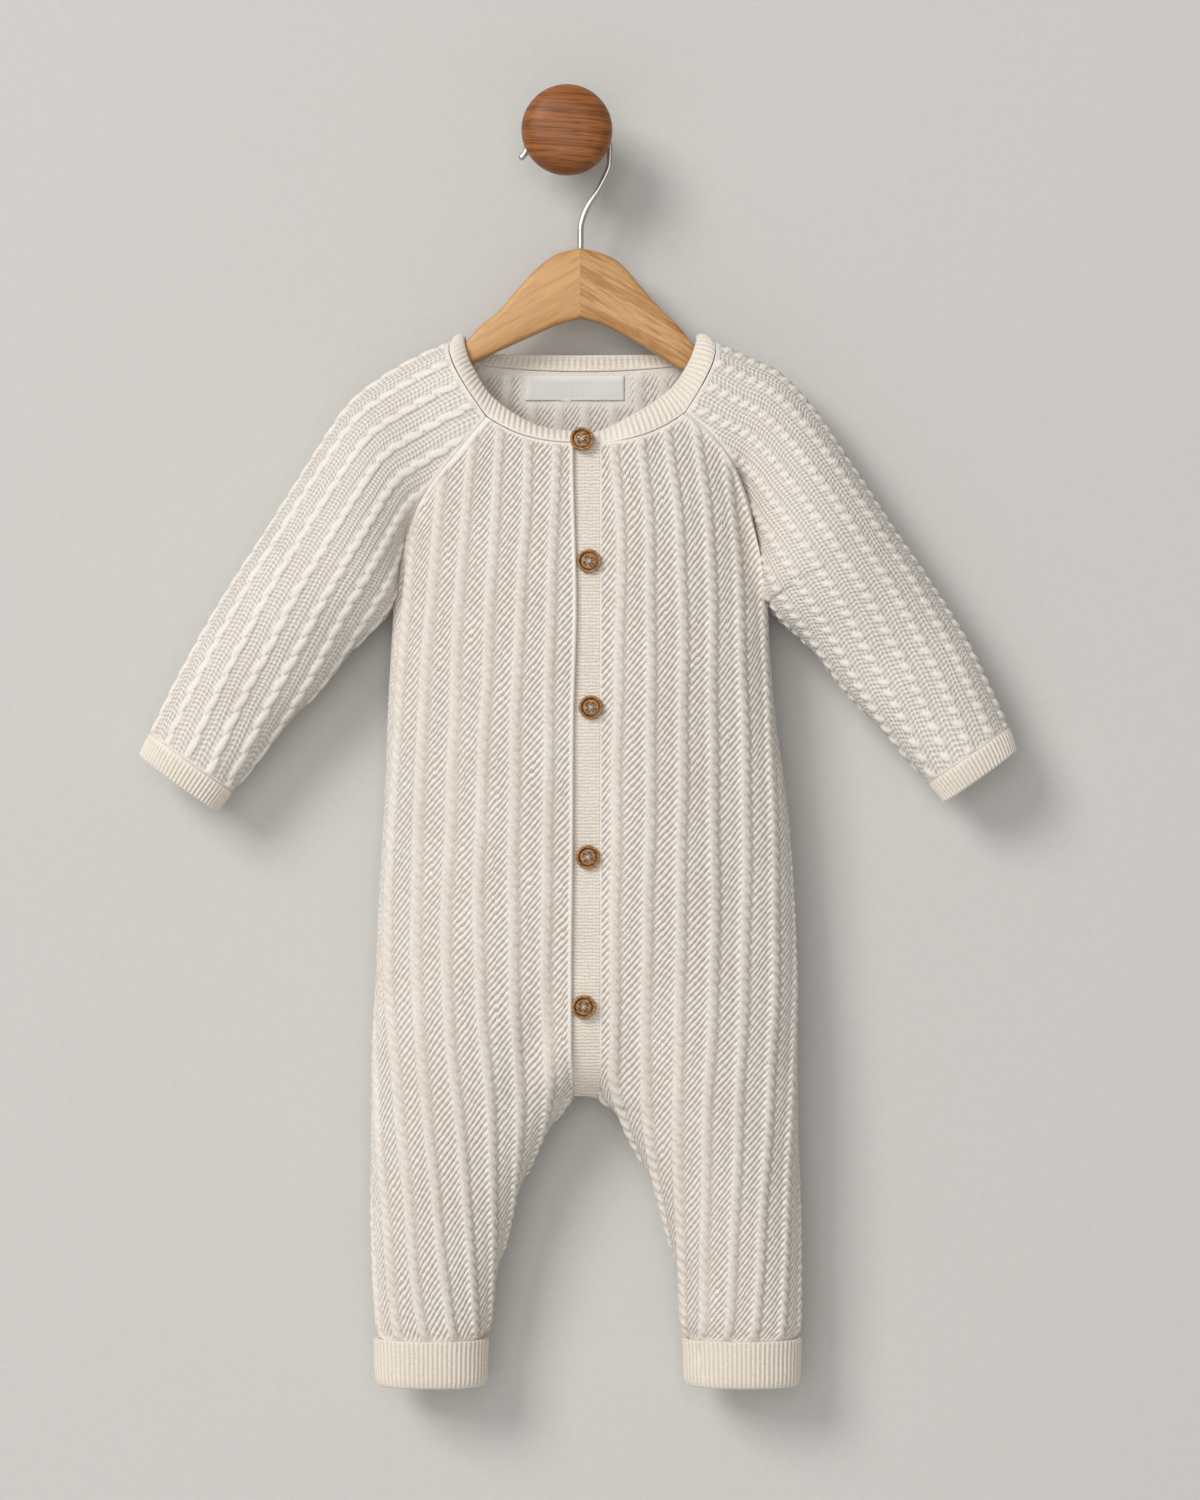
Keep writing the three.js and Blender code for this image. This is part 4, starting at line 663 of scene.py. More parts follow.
def sleeve_knit(side, ridge, along):
    """The same for a sleeve: lobed cables with dotted seed stitch between them."""
    spacing, half_length, half_width, slant, tall = LOBES[side]
    shifted = ridge + 0.5 + 0.02 * np.sin(along / 23 + ridge)
    number = np.round(shifted)
    away = (shifted - number) * SLEEVE_PITCH
    phase = along / spacing + 0.37 * number + 0.12 * np.sin(along / 31 + number)
    turn = math.radians(slant)
    lobes = np.zeros(ridge.shape)
    for shift in (-1, 0, 1):
        at = (phase - np.round(phase) + shift) * spacing
        p = (away * math.cos(turn) - at * math.sin(turn)) / half_width
        q = (away * math.sin(turn) + at * math.cos(turn)) / half_length
        lobes = np.maximum(lobes, np.sqrt(clamp01(1 - p * p - q * q)))
    bed = 0.3 * np.sqrt(clamp01(1 - (away / 3.2) ** 2))
    u = ridge * SLEEVE_PITCH + 0.3 * np.sin(along / 6.1 + number)
    v = along + 0.4 * np.sin(ridge * 3.1 + along / 17) + 0.35 * np.abs(away)
    seed = np.cos(2 * np.pi * u / SEED_ACROSS) + np.cos(2 * np.pi * v / SEED_ALONG)
    raised = smooth(lobes / 0.6)
    # painted shade in the furrows beside each cable and round the foot of each lobe
    groove_shade = clamp01(bell((np.abs(away) - 3.1) / 0.8) * 0.7 + 0.5 * bell((lobes - 0.15) / 0.2) * (np.abs(away) < 3))
    height = tall * lobes + bed - 0.2 * groove_shade + 0.12 * (1 - raised) * seed
    return height, np.stack([u, v], axis=-1), raised, groove_shade


# Making meshes

def quads(index):
    """Faces between the rows and columns of a table of vertex numbers."""
    return np.stack([index[:-1, :-1], index[:-1, 1:], index[1:, 1:], index[1:, :-1]], axis=-1).reshape(-1, 4)


def sparse(count, step):
    """Every step-th number up to count, with the last."""
    found = list(range(0, count - 1, step))
    return np.array(found + [count - 1])


def rim(outer, inner_index, inner):
    """Faces that close the wall between a border of the outer surface and the sparser inner one."""
    faces = []
    for k in range(len(inner) - 1):
        a, b = inner_index[k], inner_index[k + 1]
        faces.append(list(outer[a : b + 1]) + [inner[k + 1], inner[k]])
    return faces


class MeshParts:
    """Vertices and faces of a piece, collected before its mesh is made."""

    def __init__(self):
        self.points, self.uv, self.marks, self.faces, self.count = [], [], [], [], 0

    def add(self, points, uv, pattern=0.0, raised=0.0, groove_shade=0.0):
        shape = points.shape[:-1]
        start = self.count
        self.points.append(points.reshape(-1, 3))
        self.uv.append(np.broadcast_to(uv, shape + (2,)).reshape(-1, 2))
        marks = np.stack([np.broadcast_to(mark, shape) for mark in (pattern, raised, groove_shade)], axis=-1)
        self.marks.append(marks.reshape(-1, 3))
        self.count += int(np.prod(shape))
        return np.arange(start, self.count).reshape(shape)

    def face(self, found):
        if isinstance(found, np.ndarray):
            found = found.tolist()
        self.faces += found

    def mesh(self, name, flip=False):
        points = np.concatenate(self.points)
        uv, marks = np.concatenate(self.uv), np.concatenate(self.marks)
        used = np.zeros(len(points), bool)
        sizes = np.array([len(face) for face in self.faces])
        flat = np.array([v for face in self.faces for v in (reversed(face) if flip else face)])
        used[flat] = True
        number = np.cumsum(used) - 1
        flat = number[flat]
        points, uv, marks = points[used], uv[used], marks[used]
        world = (points + np.array([ROMPER["x"], 0, ROMPER["z"]])) * MM
        mesh = bpy.data.meshes.new(name)
        mesh.vertices.add(len(world))
        mesh.vertices.foreach_set("co", world.astype(np.float32).ravel())
        mesh.loops.add(len(flat))
        mesh.loops.foreach_set("vertex_index", flat.astype(np.int32))
        mesh.polygons.add(len(sizes))
        mesh.polygons.foreach_set("loop_start", np.concatenate([[0], np.cumsum(sizes)[:-1]]).astype(np.int32))
        mesh.update(calc_edges=True)
        mesh.validate()
        layer = mesh.uv_layers.new(name="knit")
        layer.data.foreach_set("uv", uv[flat].astype(np.float32).ravel())
        attribute = mesh.attributes.new("marks", "FLOAT_VECTOR", "POINT")
        attribute.data.foreach_set("vector", marks.astype(np.float32).ravel())
        mesh.shade_smooth()
        return mesh


def cloth_wall(parts, index_outer, base, normal, uv, wall=WALL, step=4, rims="tblr", keep=None):
    """The inner surface behind a grid, at a coarser step, and the rims that close the wall."""
    rows, columns = sparse(base.shape[0], step), sparse(base.shape[1], step)
    inner = base[np.ix_(rows, columns)] - normal[np.ix_(rows, columns)] * wall
    if keep is not None:
        inner = keep(inner)
    index = parts.add(inner, uv[np.ix_(rows, columns)])
    parts.face(quads(index)[:, ::-1])
    if "t" in rims:
        parts.face([face[::-1] for face in rim(index_outer[0], columns, index[0])])
    if "b" in rims:
        parts.face(rim(index_outer[-1], columns, index[-1]))
    if "l" in rims:
        parts.face(rim(index_outer[:, 0], rows, index[:, 0]))
    if "r" in rims:
        parts.face([face[::-1] for face in rim(index_outer[:, -1], rows, index[:, -1])])
    return index, rows, columns


def keep_front(points):
    points = points.copy()
    points[..., 1] = np.minimum(points[..., 1], -SIDE_DEPTH - GAP / 2)
    return points


def keep_back(points):
    points = points.copy()
    points[..., 1] = np.maximum(points[..., 1], -SIDE_DEPTH + GAP / 2)
    return points


def piece(name, mesh, material, replaces=()):
    """An object for a mesh in the row frame, standing for its CAD nodes."""
    obj = bpy.data.objects.new(name, mesh)
    bpy.context.scene.collection.objects.link(obj)
    mesh.materials.append(material)
    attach(obj, "root")
    if replaces:
        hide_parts(*replaces)
    return obj


# Materials

def linear(hex_colour):
    """An sRGB hex colour as a linear one."""
    value = hex_colour.lstrip("#")
    channels = [int(value[i : i + 2], 16) / 255 for i in (0, 2, 4)]
    return tuple(c / 12.92 if c <= 0.04045 else ((c + 0.055) / 1.055) ** 2.4 for c in channels)


def add_node(tree, kind, *inputs, output=0, named=None, **settings):
    """Adds a node with its settings, its inputs as numbers or links, and gives one of its outputs."""
    node = tree.nodes.new(kind)
    for name, value in settings.items():
        setattr(node, name, value)
    for key, value in list(enumerate(inputs)) + list((named or {}).items()):
        if isinstance(value, bpy.types.NodeSocket):
            tree.links.new(value, node.inputs[key])
        elif value is not None:
            node.inputs[key].default_value = value
    return node.outputs[output] if len(node.outputs) else None


def new_tree(name):
    """An empty node material."""
    material = bpy.data.materials.new(name)
    material.use_nodes = True
    material.node_tree.nodes.clear()
    return material, material.node_tree


def rgba(colour):
    return tuple(colour) + (1.0,)


def surface(tree, value, dark, light, height, depth, **shader):
    """A Principled surface coloured from dark to light by a 0 to 1 value, raised by a height."""
    colour = add_node(
        tree, "ShaderNodeMix", named={0: value, 6: rgba(dark), 7: rgba(light)}, data_type="RGBA", output=2
    )
    bump = add_node(tree, "ShaderNodeBump", named={"Distance": depth, "Height": height})
    settings = {name.replace("_", " "): number for name, number in shader.items()}
    return add_node(tree, "ShaderNodeBsdfPrincipled", named={"Base Color": colour, "Normal": bump, **settings})


def knit_coordinates(tree):
    """The knit's coordinates in millimetres, and the marks for patterned places, for raised places and for the painted
    shade of grooves.
    """
    uv = add_node(tree, "ShaderNodeUVMap", uv_map="knit")
    marks = add_node(tree, "ShaderNodeAttribute", attribute_name="marks", output="Vector")
    pattern, raised, groove_shade = add_node(tree, "ShaderNodeSeparateXYZ", marks).node.outputs
    return uv, pattern, raised, groove_shade


def yarn_surface(tree, uv, value, dark, light, depth):
    """Matt cotton yarn: a pattern's colour with the fibres' fuzz, faint mottling and bump."""
    # fibres and loops of about a millimetre, and patches of a few centimetres
    fuzz = add_node(tree, "ShaderNodeTexNoise", named={"Vector": uv, "Scale": 0.75, "Detail": 5.0, "Roughness": 0.8})
    cloud = add_node(tree, "ShaderNodeTexNoise", named={"Vector": uv, "Scale": 0.035, "Detail": 2.0})
    mottle = add_node(tree, "ShaderNodeMath", cloud, 0.3, -0.8, operation="MULTIPLY_ADD")
    mottle = add_node(tree, "ShaderNodeMath", fuzz, 1.3, mottle, operation="MULTIPLY_ADD")
    shade = add_node(tree, "ShaderNodeMath", value, mottle, operation="ADD")
    height = add_node(tree, "ShaderNodeMath", fuzz, 0.6, value, operation="MULTIPLY_ADD")
    return surface(
        tree, shade, dark, light, height, depth,
        Roughness=0.9, IOR=1.5, Specular_IOR_Level=0.2, Sheen_Weight=0.3, Sheen_Roughness=0.5,
    )


def cream_cotton_cable_knit(yarn, shadow):
    """Machine-knitted cotton: matt, softly fuzzy, with fine slanting stitches between rope ridges."""
    material, tree = new_tree("cream_cotton_cable_knit")
    uv, pattern, raised, groove_shade = knit_coordinates(tree)
    # slanting stitches 2.75 mm apart across and 3.45 mm down; 0.6283 makes a diagonal wave one unit long
    steps = add_node(
        tree, "ShaderNodeVectorMath", uv, (1 / STROKE_ACROSS, 1 / STROKE_DOWN, 0), operation="MULTIPLY"
    )
    stroke = add_node(
        tree, "ShaderNodeTexWave", bands_direction="DIAGONAL", output="Fac",
        named={"Vector": steps, "Scale": 0.6283, "Distortion": 0.7, "Detail": 1.0, "Detail Scale": 0.5},
    )
    # each stitch dips every 4.2 mm along its length
    along = add_node(tree, "ShaderNodeVectorMath", uv, (-0.14, 0.19, 0), operation="MULTIPLY")
    dip = add_node(
        tree, "ShaderNodeTexWave", bands_direction="DIAGONAL", output="Fac",
        named={"Vector": along, "Scale": 0.6283, "Distortion": 3.0, "Detail": 1.0, "Detail Scale": 2.0},
    )
    # the dark between the stitches and at their dips is painted shade
    stitch = add_node(tree, "ShaderNodeMath", dip, 0.3, stroke, operation="MULTIPLY_ADD")
    stitch = add_node(tree, "ShaderNodeMapRange", stitch, 0.12, 0.95, 0.08, 1.0, interpolation_type="SMOOTHSTEP")
    value = add_node(tree, "ShaderNodeMix", raised, None, stitch, 0.74)
    # painted shade: grooves and dips are drawn towards the shadow colour
    painted_shade = add_node(tree, "ShaderNodeMath", groove_shade, 0.6, operation="MULTIPLY")
    value = add_node(tree, "ShaderNodeMix", painted_shade, None, value, 0.05)
    value = add_node(tree, "ShaderNodeMix", pattern, None, 0.86, value)
    add_node(tree, "ShaderNodeOutputMaterial", yarn_surface(tree, uv, value, shadow, yarn, 0.0006))
    return material


def cream_cotton_seed_knit(yarn, shadow):
    """The sleeves' cotton knit: dotted seed stitch between lobed cables, matt and soft."""
    material, tree = new_tree("cream_cotton_seed_knit")
    uv, pattern, raised, groove_shade = knit_coordinates(tree)
    # seed stitches 2.1 mm apart across and 2.2 mm apart along, each row shifted by half a stitch
    columns = add_node(
        tree, "ShaderNodeTexWave", bands_direction="X", output="Fac",
        named={"Vector": uv, "Scale": 0.31416 / SEED_ACROSS, "Distortion": 0.3, "Detail": 1.0, "Detail Scale": 0.5},
    )
    rows = add_node(
        tree, "ShaderNodeTexWave", bands_direction="Y", output="Fac",
        named={"Vector": uv, "Scale": 0.31416 / SEED_ALONG, "Distortion": 0.3, "Detail": 1.0, "Detail Scale": 0.5},
    )
    # the dark between the seed stitches is painted shade
    dots = add_node(tree, "ShaderNodeMath", columns, rows, operation="ADD")
    stitch = add_node(tree, "ShaderNodeMapRange", dots, 0.3, 1.5, 0.2, 1.0, interpolation_type="SMOOTHSTEP")
    value = add_node(tree, "ShaderNodeMix", raised, None, stitch, 0.9)
    # painted shade: grooves are drawn towards the shadow colour
    painted_shade = add_node(tree, "ShaderNodeMath", groove_shade, 0.4, operation="MULTIPLY")
    value = add_node(tree, "ShaderNodeMix", painted_shade, None, value, 0.05)
    value = add_node(tree, "ShaderNodeMix", pattern, None, 0.86, value)
    add_node(tree, "ShaderNodeOutputMaterial", yarn_surface(tree, uv, value, shadow, yarn, 0.00055))
    return material


def cream_cotton_plain_knit(name, yarn, shadow, across, down, depth, loop_shade_floor):
    """Fine plain or ribbed cotton knit: tiny loops, matt, a little flatter than the cables."""
    material, tree = new_tree(name)
    uv, pattern, raised, groove_shade = knit_coordinates(tree)
    loops = add_node(
        tree, "ShaderNodeTexWave", bands_direction="X", output="Fac",
        named={"Vector": uv, "Scale": 0.31416 / across, "Distortion": 0.8, "Detail": 1.0, "Detail Scale": 0.6},
    )
    courses = add_node(
        tree, "ShaderNodeTexWave", bands_direction="Y", output="Fac",
        named={"Vector": uv, "Scale": 0.31416 / down, "Distortion": 3.0, "Detail": 1.0, "Detail Scale": 1.6},
    )
    value = add_node(tree, "ShaderNodeMath", loops, 0.2, courses, operation="MULTIPLY_ADD")
    # painted shade between the loops, no darker than the floor value given
    value = add_node(tree, "ShaderNodeMapRange", value, 0.0, 1.0, loop_shade_floor, 0.9, interpolation_type="SMOOTHSTEP")
    # painted shade in the furrows between ribs; on the ribs' tops the loops' painted shade gives way to a light plain
    # value
    value = add_node(tree, "ShaderNodeMix", groove_shade, None, value, 0.0)
    rib = add_node(tree, "ShaderNodeMath", raised, 0.7, operation="MULTIPLY")
    value = add_node(tree, "ShaderNodeMix", rib, None, value, 0.92)
    add_node(tree, "ShaderNodeOutputMaterial", yarn_surface(tree, uv, value, shadow, yarn, depth))
    return material


def sawn_or_turned_wood(name, light, dark, grain, spacing, gloss, turn=(0, 0, 0)):
    """Lacquered beech or acacia: warm, with long grain lines, fine pores and a satin gloss."""
    material, tree = new_tree(name)
    where = add_node(tree, "ShaderNodeTexCoord", output="Object")
    placed = add_node(
        tree, "ShaderNodeMapping", where, named={"Rotation": turn, "Scale": grain}, vector_type="TEXTURE"
    )
    # growth lines a few millimetres apart, and pores nine times finer
    rings = add_node(
        tree, "ShaderNodeTexNoise", named={"Vector": placed, "Scale": 1.0 / spacing, "Detail": 4.0, "Roughness": 0.6}
    )
    pores = add_node(tree, "ShaderNodeTexNoise", named={"Vector": placed, "Scale": 9.0 / spacing, "Detail": 2.0})
    lines = add_node(tree, "ShaderNodeMath", rings, 26.0, operation="MULTIPLY")
    lines = add_node(tree, "ShaderNodeMath", lines, operation="SINE")
    value = add_node(tree, "ShaderNodeMath", pores, 0.9, 0.05, operation="MULTIPLY_ADD")
    value = add_node(tree, "ShaderNodeMath", lines, 0.22, value, operation="MULTIPLY_ADD")
    # painted shade from an attribute: turned hollows and holes are darkened where shade falls in them, and a value
    # below zero lightens the wood
    burnt = add_node(tree, "ShaderNodeAttribute", attribute_name="burnt", output="Fac")
    value = add_node(tree, "ShaderNodeMath", burnt, -0.9, value, operation="MULTIPLY_ADD")
    shader = surface(
        tree, value, dark, light, value, 0.00005, Roughness=gloss, IOR=1.5, Specular_IOR_Level=0.35, Coat_Weight=0.06, Coat_Roughness=0.3
    )
    add_node(tree, "ShaderNodeOutputMaterial", shader)
    return material


def drawn_steel_wire():
    """Bright drawn steel wire: a soft metal shine with faint drawing marks."""
    material, tree = new_tree("drawn_steel_wire")
    where = add_node(tree, "ShaderNodeTexCoord", output="Object")
    noise = add_node(tree, "ShaderNodeTexNoise", named={"Vector": where, "Scale": 900.0, "Detail": 2.0})
    shader = surface(tree, noise, linear("B4B2AC"), linear("E2E0DA"), noise, 0.00001, Metallic=1.0, Roughness=0.38)
    add_node(tree, "ShaderNodeOutputMaterial", shader)
    return material


def woven_label_tape():
    """Blank polyester satin tape: smooth, cool white, with a faint fine weave."""
    material, tree = new_tree("woven_label_tape")
    uv, _, raised, _ = knit_coordinates(tree)
    # threads a millimetre apart: coarser than real ones, which wouldn't show
    warp = add_node(tree, "ShaderNodeTexWave", bands_direction="X", output="Fac", named={"Vector": uv, "Scale": 0.29})
    weft = add_node(tree, "ShaderNodeTexWave", bands_direction="Y", output="Fac", named={"Vector": uv, "Scale": 0.35})
    value = add_node(tree, "ShaderNodeMath", warp, weft, operation="MULTIPLY")
    value = add_node(tree, "ShaderNodeMath", raised, value, operation="ADD")
    shader = surface(
        tree, value, linear("E3DFDC"), linear("F3F1EE"), value, 0.00005, Roughness=0.5, IOR=1.5, Sheen_Weight=0.2
    )
    add_node(tree, "ShaderNodeOutputMaterial", shader)
    return material


def painted_wall():
    """Matt emulsion on plaster for the stage, seen only from the room's side."""
    material, tree = new_tree("painted_wall")
    where = add_node(tree, "ShaderNodeTexCoord", output="Object")
    noise = add_node(tree, "ShaderNodeTexNoise", named={"Vector": where, "Scale": 400.0, "Detail": 3.0})
    shader = surface(tree, noise, linear("CCCBC8"), linear("D3D2CF"), noise, 0.00003, Roughness=0.9)
    behind = add_node(tree, "ShaderNodeNewGeometry", output="Backfacing")
    clear = add_node(tree, "ShaderNodeBsdfTransparent")
    add_node(tree, "ShaderNodeOutputMaterial", add_node(tree, "ShaderNodeMixShader", behind, shader, clear))
    return material


_made = {}


def material_of(kind):
    """Each material is made once, with the colours of the panel's settings."""
    if kind in _made:
        return _made[kind]
    yarn = bpy.context.scene.romper_yarn
    # the gap colours are painted shade: the colour the knits are drawn towards between stitches, in furrows and between
    # ribs
    light, shaded = tuple(yarn.cable_colour), tuple(yarn.stitch_shade_colour)
    rib, rib_shaded = tuple(yarn.rib_colour), tuple(yarn.rib_shade_colour)
    wood = bpy.context.scene.romper_wood
    hanger, knob, button = tuple(wood.hanger_colour), tuple(wood.knob_colour), tuple(wood.button_colour)
    left_lean, right_lean = (0, math.radians(-29), 0), (0, math.radians(31), 0)
    makers = {
        "cable": lambda: cream_cotton_cable_knit(light, shaded),
        "seed": lambda: cream_cotton_seed_knit(light, shaded),
        "band": lambda: cream_cotton_plain_knit("cream_cotton_plain_band", rib, rib_shaded, 1.8, 1.6, 0.0004, 0.4),
        "rib": lambda: cream_cotton_plain_knit("cream_cotton_rib", rib, rib_shaded, 1.45, 1.6, 0.0002, 0.72),
        "hanger_left": lambda: sawn_or_turned_wood(
            "lacquered_beech_left", hanger, linear("BE8A55"), (6, 1, 0.42), 0.012, 0.42, left_lean
        ),
        "hanger_right": lambda: sawn_or_turned_wood(
            "lacquered_beech_right", hanger, linear("A0662F"), (6, 1, 0.5), 0.010, 0.42, right_lean
        ),
        "knob": lambda: sawn_or_turned_wood(
            "turned_acacia_knob", knob, linear("5C3010"), (9, 3, 0.3), 0.010, 0.5, (0, math.radians(4), 0)
        ),
        "button": lambda: sawn_or_turned_wood(
            "turned_wood_button", button, linear("56300F"), (1.5, 1, 0.33), 0.004, 0.4, (0, math.radians(20), 0)
        ),
        "thread": lambda: cream_cotton_plain_knit(
            "white_sewing_thread", linear("F2EFE8"), linear("D8D2C6"), 0.8, 0.8, 0.0001, 0.4
        ),
        "wire": drawn_steel_wire,
        "label": woven_label_tape,
        "wall": painted_wall,
    }
    _made[kind] = makers[kind]()
    return _made[kind]


# Pieces

def ridge_lift():
    return bpy.context.scene.romper_cloth.ridge_height / (ROPE_HEIGHT * MM)


def body_surface(grid, face, side):
    """Heights of a body panel's grid, with its knit coordinates and marks."""
    knit, uv, raised, groove_shade = body_knit(grid.ridge, grid.drop)
    seam = grid.outer_edge
    fade = smooth((seam - 0.8) / 2) * smooth((grid.down - 0.8) / 1.8) * (1 - smooth((grid.drop - 479) / 4))
    below = smooth((grid.drop - CROTCH_DROP) / 3)
    armpit = smooth((grid.drop - 120) / 25)
    if face == "front":
        fade = fade * mix(smooth((grid.inner_edge - (1.5 if side == "left" else 0.3)) / 0.9), 1, below)
    # along the left side a plain, fuzzy strip about a centimetre wide
    strip = armpit * (1 - smooth((seam - 10) / 6)) * (0.75 if (face, side) == ("front", "left") else 0.25)
    height = knit * fade * (1 - 0.6 * strip) * ridge_lift()
    lumps = np.sin(grid.drop / 1.35 + 1.9 * np.sin(seam / 1.7 + grid.drop / 9)) * np.sin(seam / 1.2 + np.sin(grid.drop / 4))
    lumps = lumps * smooth((seam - 1) / 2)
    height = height + 0.5 * strip * lumps
    # painted shade in the hollows between the strip's lumps
    groove_shade = np.maximum(groove_shade * (1 - strip), 0.6 * strip * smooth(-1.6 * lumps))
    height = height - rolled(seam, 0.6) - rolled(grid.down, 0.4) - rolled(grid.up, 0.7)
    if face == "back":
        height = height - rolled(grid.inner_edge) * below
    elif side == "right":
        height = height - rolled(grid.inner_edge, 0.12) * (1 - below) - rolled(grid.inner_edge) * below
    else:
        height = height - rolled(grid.inner_edge, 0.7)
        cord = 0.8 * bell((grid.inner_edge - 1.0) / 0.75) - 0.3 * bell((grid.inner_edge - 2.6) / 0.5)
        height = height + cord * (1 - below)
    raglan = 1 - smooth((grid.drop - 112) / 22)
    roll = (1.25 if side == "right" else 0.9) * bell((seam - 2.1) / 1.3) - 0.25 * bell((seam - 4.3) / 0.7)
    pattern = fade * (1 - 0.55 * strip) * (1 - 0.8 * raglan * bell((seam - 1.6) / 1.6))
    if (face, side) == ("front", "right"):
        height = height + 2.4 * bell((seam - 3) / 3.2) * bell((grid.drop - 100) / 24)
    return height + roll * raglan, uv, pattern, raised, groove_shade


def front_piece(side):
    grid = base_grids()["front_" + side]
    height, uv, pattern, raised, groove_shade = body_surface(grid, "front", side)
    points = keep_front(grid.points + grid.normal * height[..., None])
    parts = MeshParts()
    index = parts.add(points, uv, pattern, raised, groove_shade)
    parts.face(quads(index))
    cloth_wall(parts, index, grid.points, grid.normal, uv, keep=keep_front)
    mesh = parts.mesh("front_" + side + "_knit", flip=side == "right")
    return piece("front_" + side + "_knit", mesh, material_of("cable"), ["front_" + side])


def inside_marks(drop, x, raised):
    """The knit shows on the back's inside too, round the neck, apart from behind the label."""
    behind = smooth((drop - LABEL["bottom"] - 1) / 3)
    behind = np.maximum(behind, smooth((np.abs(x - (LABEL["left"] + LABEL["right"]) / 2) - 25.5) / 3))
    return 0.75 * behind * (1 - smooth((drop - 110) / 30)) * smooth((drop - 17) / 4)


def back_piece():
    grids = base_grids()
    parts = MeshParts()
    borders = {}
    for side in SIGN:
        grid = grids["back_" + side]
        height, uv, pattern, raised, groove_shade = body_surface(grid, "back", side)
        points = keep_back(grid.points + grid.normal * height[..., None])
        index = parts.add(points, uv, pattern, raised, groove_shade)
        turn = (lambda f: [face[::-1] for face in f]) if side == "left" else (lambda f: f)
        parts.face(turn(quads(index).tolist()))
        rows, columns = sparse(points.shape[0], 2), sparse(points.shape[1], 2)
        at = np.ix_(rows, columns)
        shown = inside_marks(grid.drop[at], grid.points[at][..., 0], raised[at])
        inner = grid.points[at] - grid.normal[at] * (WALL + 0.9 * raised[at] * shown)[..., None]
        inner_index = parts.add(keep_back(inner), uv[at], shown, raised[at], groove_shade[at])
        parts.face(turn([face[::-1] for face in quads(inner_index).tolist()]))
        parts.face(turn([face[::-1] for face in rim(index[0], columns, inner_index[0])]))
        parts.face(turn(rim(index[-1], columns, inner_index[-1])))
        parts.face(turn(rim(index[:, 0], rows, inner_index[:, 0])))
        n = sum(1 for v, drop in grid.rows if drop <= CROTCH_DROP + 1e-3)
        legs = [k for k in range(len(rows)) if rows[k] >= n - 1]
        below = rows[legs] - rows[legs][0]
        parts.face(turn([face[::-1] for face in rim(index[rows[legs][0] :, -1], below, inner_index[legs, -1])]))
        borders[side] = (index[:n, -1], points[:n, -1], grid.drop[:n, -1], grid.ridge[:n, -1], pattern[:n, -1])
    centre_strip(parts, borders)
    return piece("back_knit", parts.mesh("back_knit"), material_of("cable"), ["back"])


def centre_strip(parts, borders):
    """The back's middle, between the two halves, down to the crotch."""
    (left_index, left_points, left_drop, left_ridge, _) = borders["left"]
    (right_index, right_points, right_drop, right_ridge, _) = borders["right"]
    columns, rows = 14, len(left_index)
    share = np.linspace(0, 1, columns)[None, :]
    x = mix(LEGS["left"][0], LEGS["right"][0], share) * np.ones((rows, 1))
    drop = np.repeat(left_drop[:, None], columns, 1)
    in_left = x < CROTCH_MIDDLE * smooth((drop - 326.7) / 40)
    y = np.where(in_left, body_depth("back", "left", x, drop), body_depth("back", "right", x, drop))
    base = np.stack([x, y, -drop], axis=-1)
    normal = grid_normals(base, np.array([0, 1, 0]))
    ridge = mix(left_ridge[:, None], np.interp(left_drop, right_drop, right_ridge)[:, None], share)
    knit, uv, raised, groove_shade = body_knit(ridge, drop)
    fade = smooth((drop - drop[0] - 1) / 2.5)
    height = knit * fade * ridge_lift() - rolled(drop - drop[0], 0.7)
    points = keep_back(base + normal * height[..., None])
    ends = [np.stack([np.interp(left_drop, d, p[:, k]) for k in range(3)], axis=1) for d, p in ((left_drop, left_points), (right_drop, right_points))]
    for k in range(4):
        points[:, k] = mix(points[:, k], points[:, k] + ends[0] - points[:, 0] if k else ends[0], 1 - k / 4)
        points[:, -1 - k] = mix(points[:, -1 - k], points[:, -1 - k] + ends[1] - points[:, -1] if k else ends[1], 1 - k / 4)
    index = parts.add(points, uv, fade, raised, groove_shade)
    parts.face(quads(index)[:, ::-1])
    inner_rows = sparse(rows, 2)
    shown = inside_marks(drop, x, raised)
    inner = (base - normal * (WALL + 0.9 * raised * shown)[..., None])[inner_rows]
    inner_index = parts.add(keep_back(inner), uv[inner_rows], shown[inner_rows], raised[inner_rows], groove_shade[inner_rows])
    parts.face(quads(inner_index))
    every = np.arange(columns)
    parts.face(rim(index[0], every, inner_index[0]))
    parts.face([face[::-1] for face in rim(index[-1], every, inner_index[-1])])


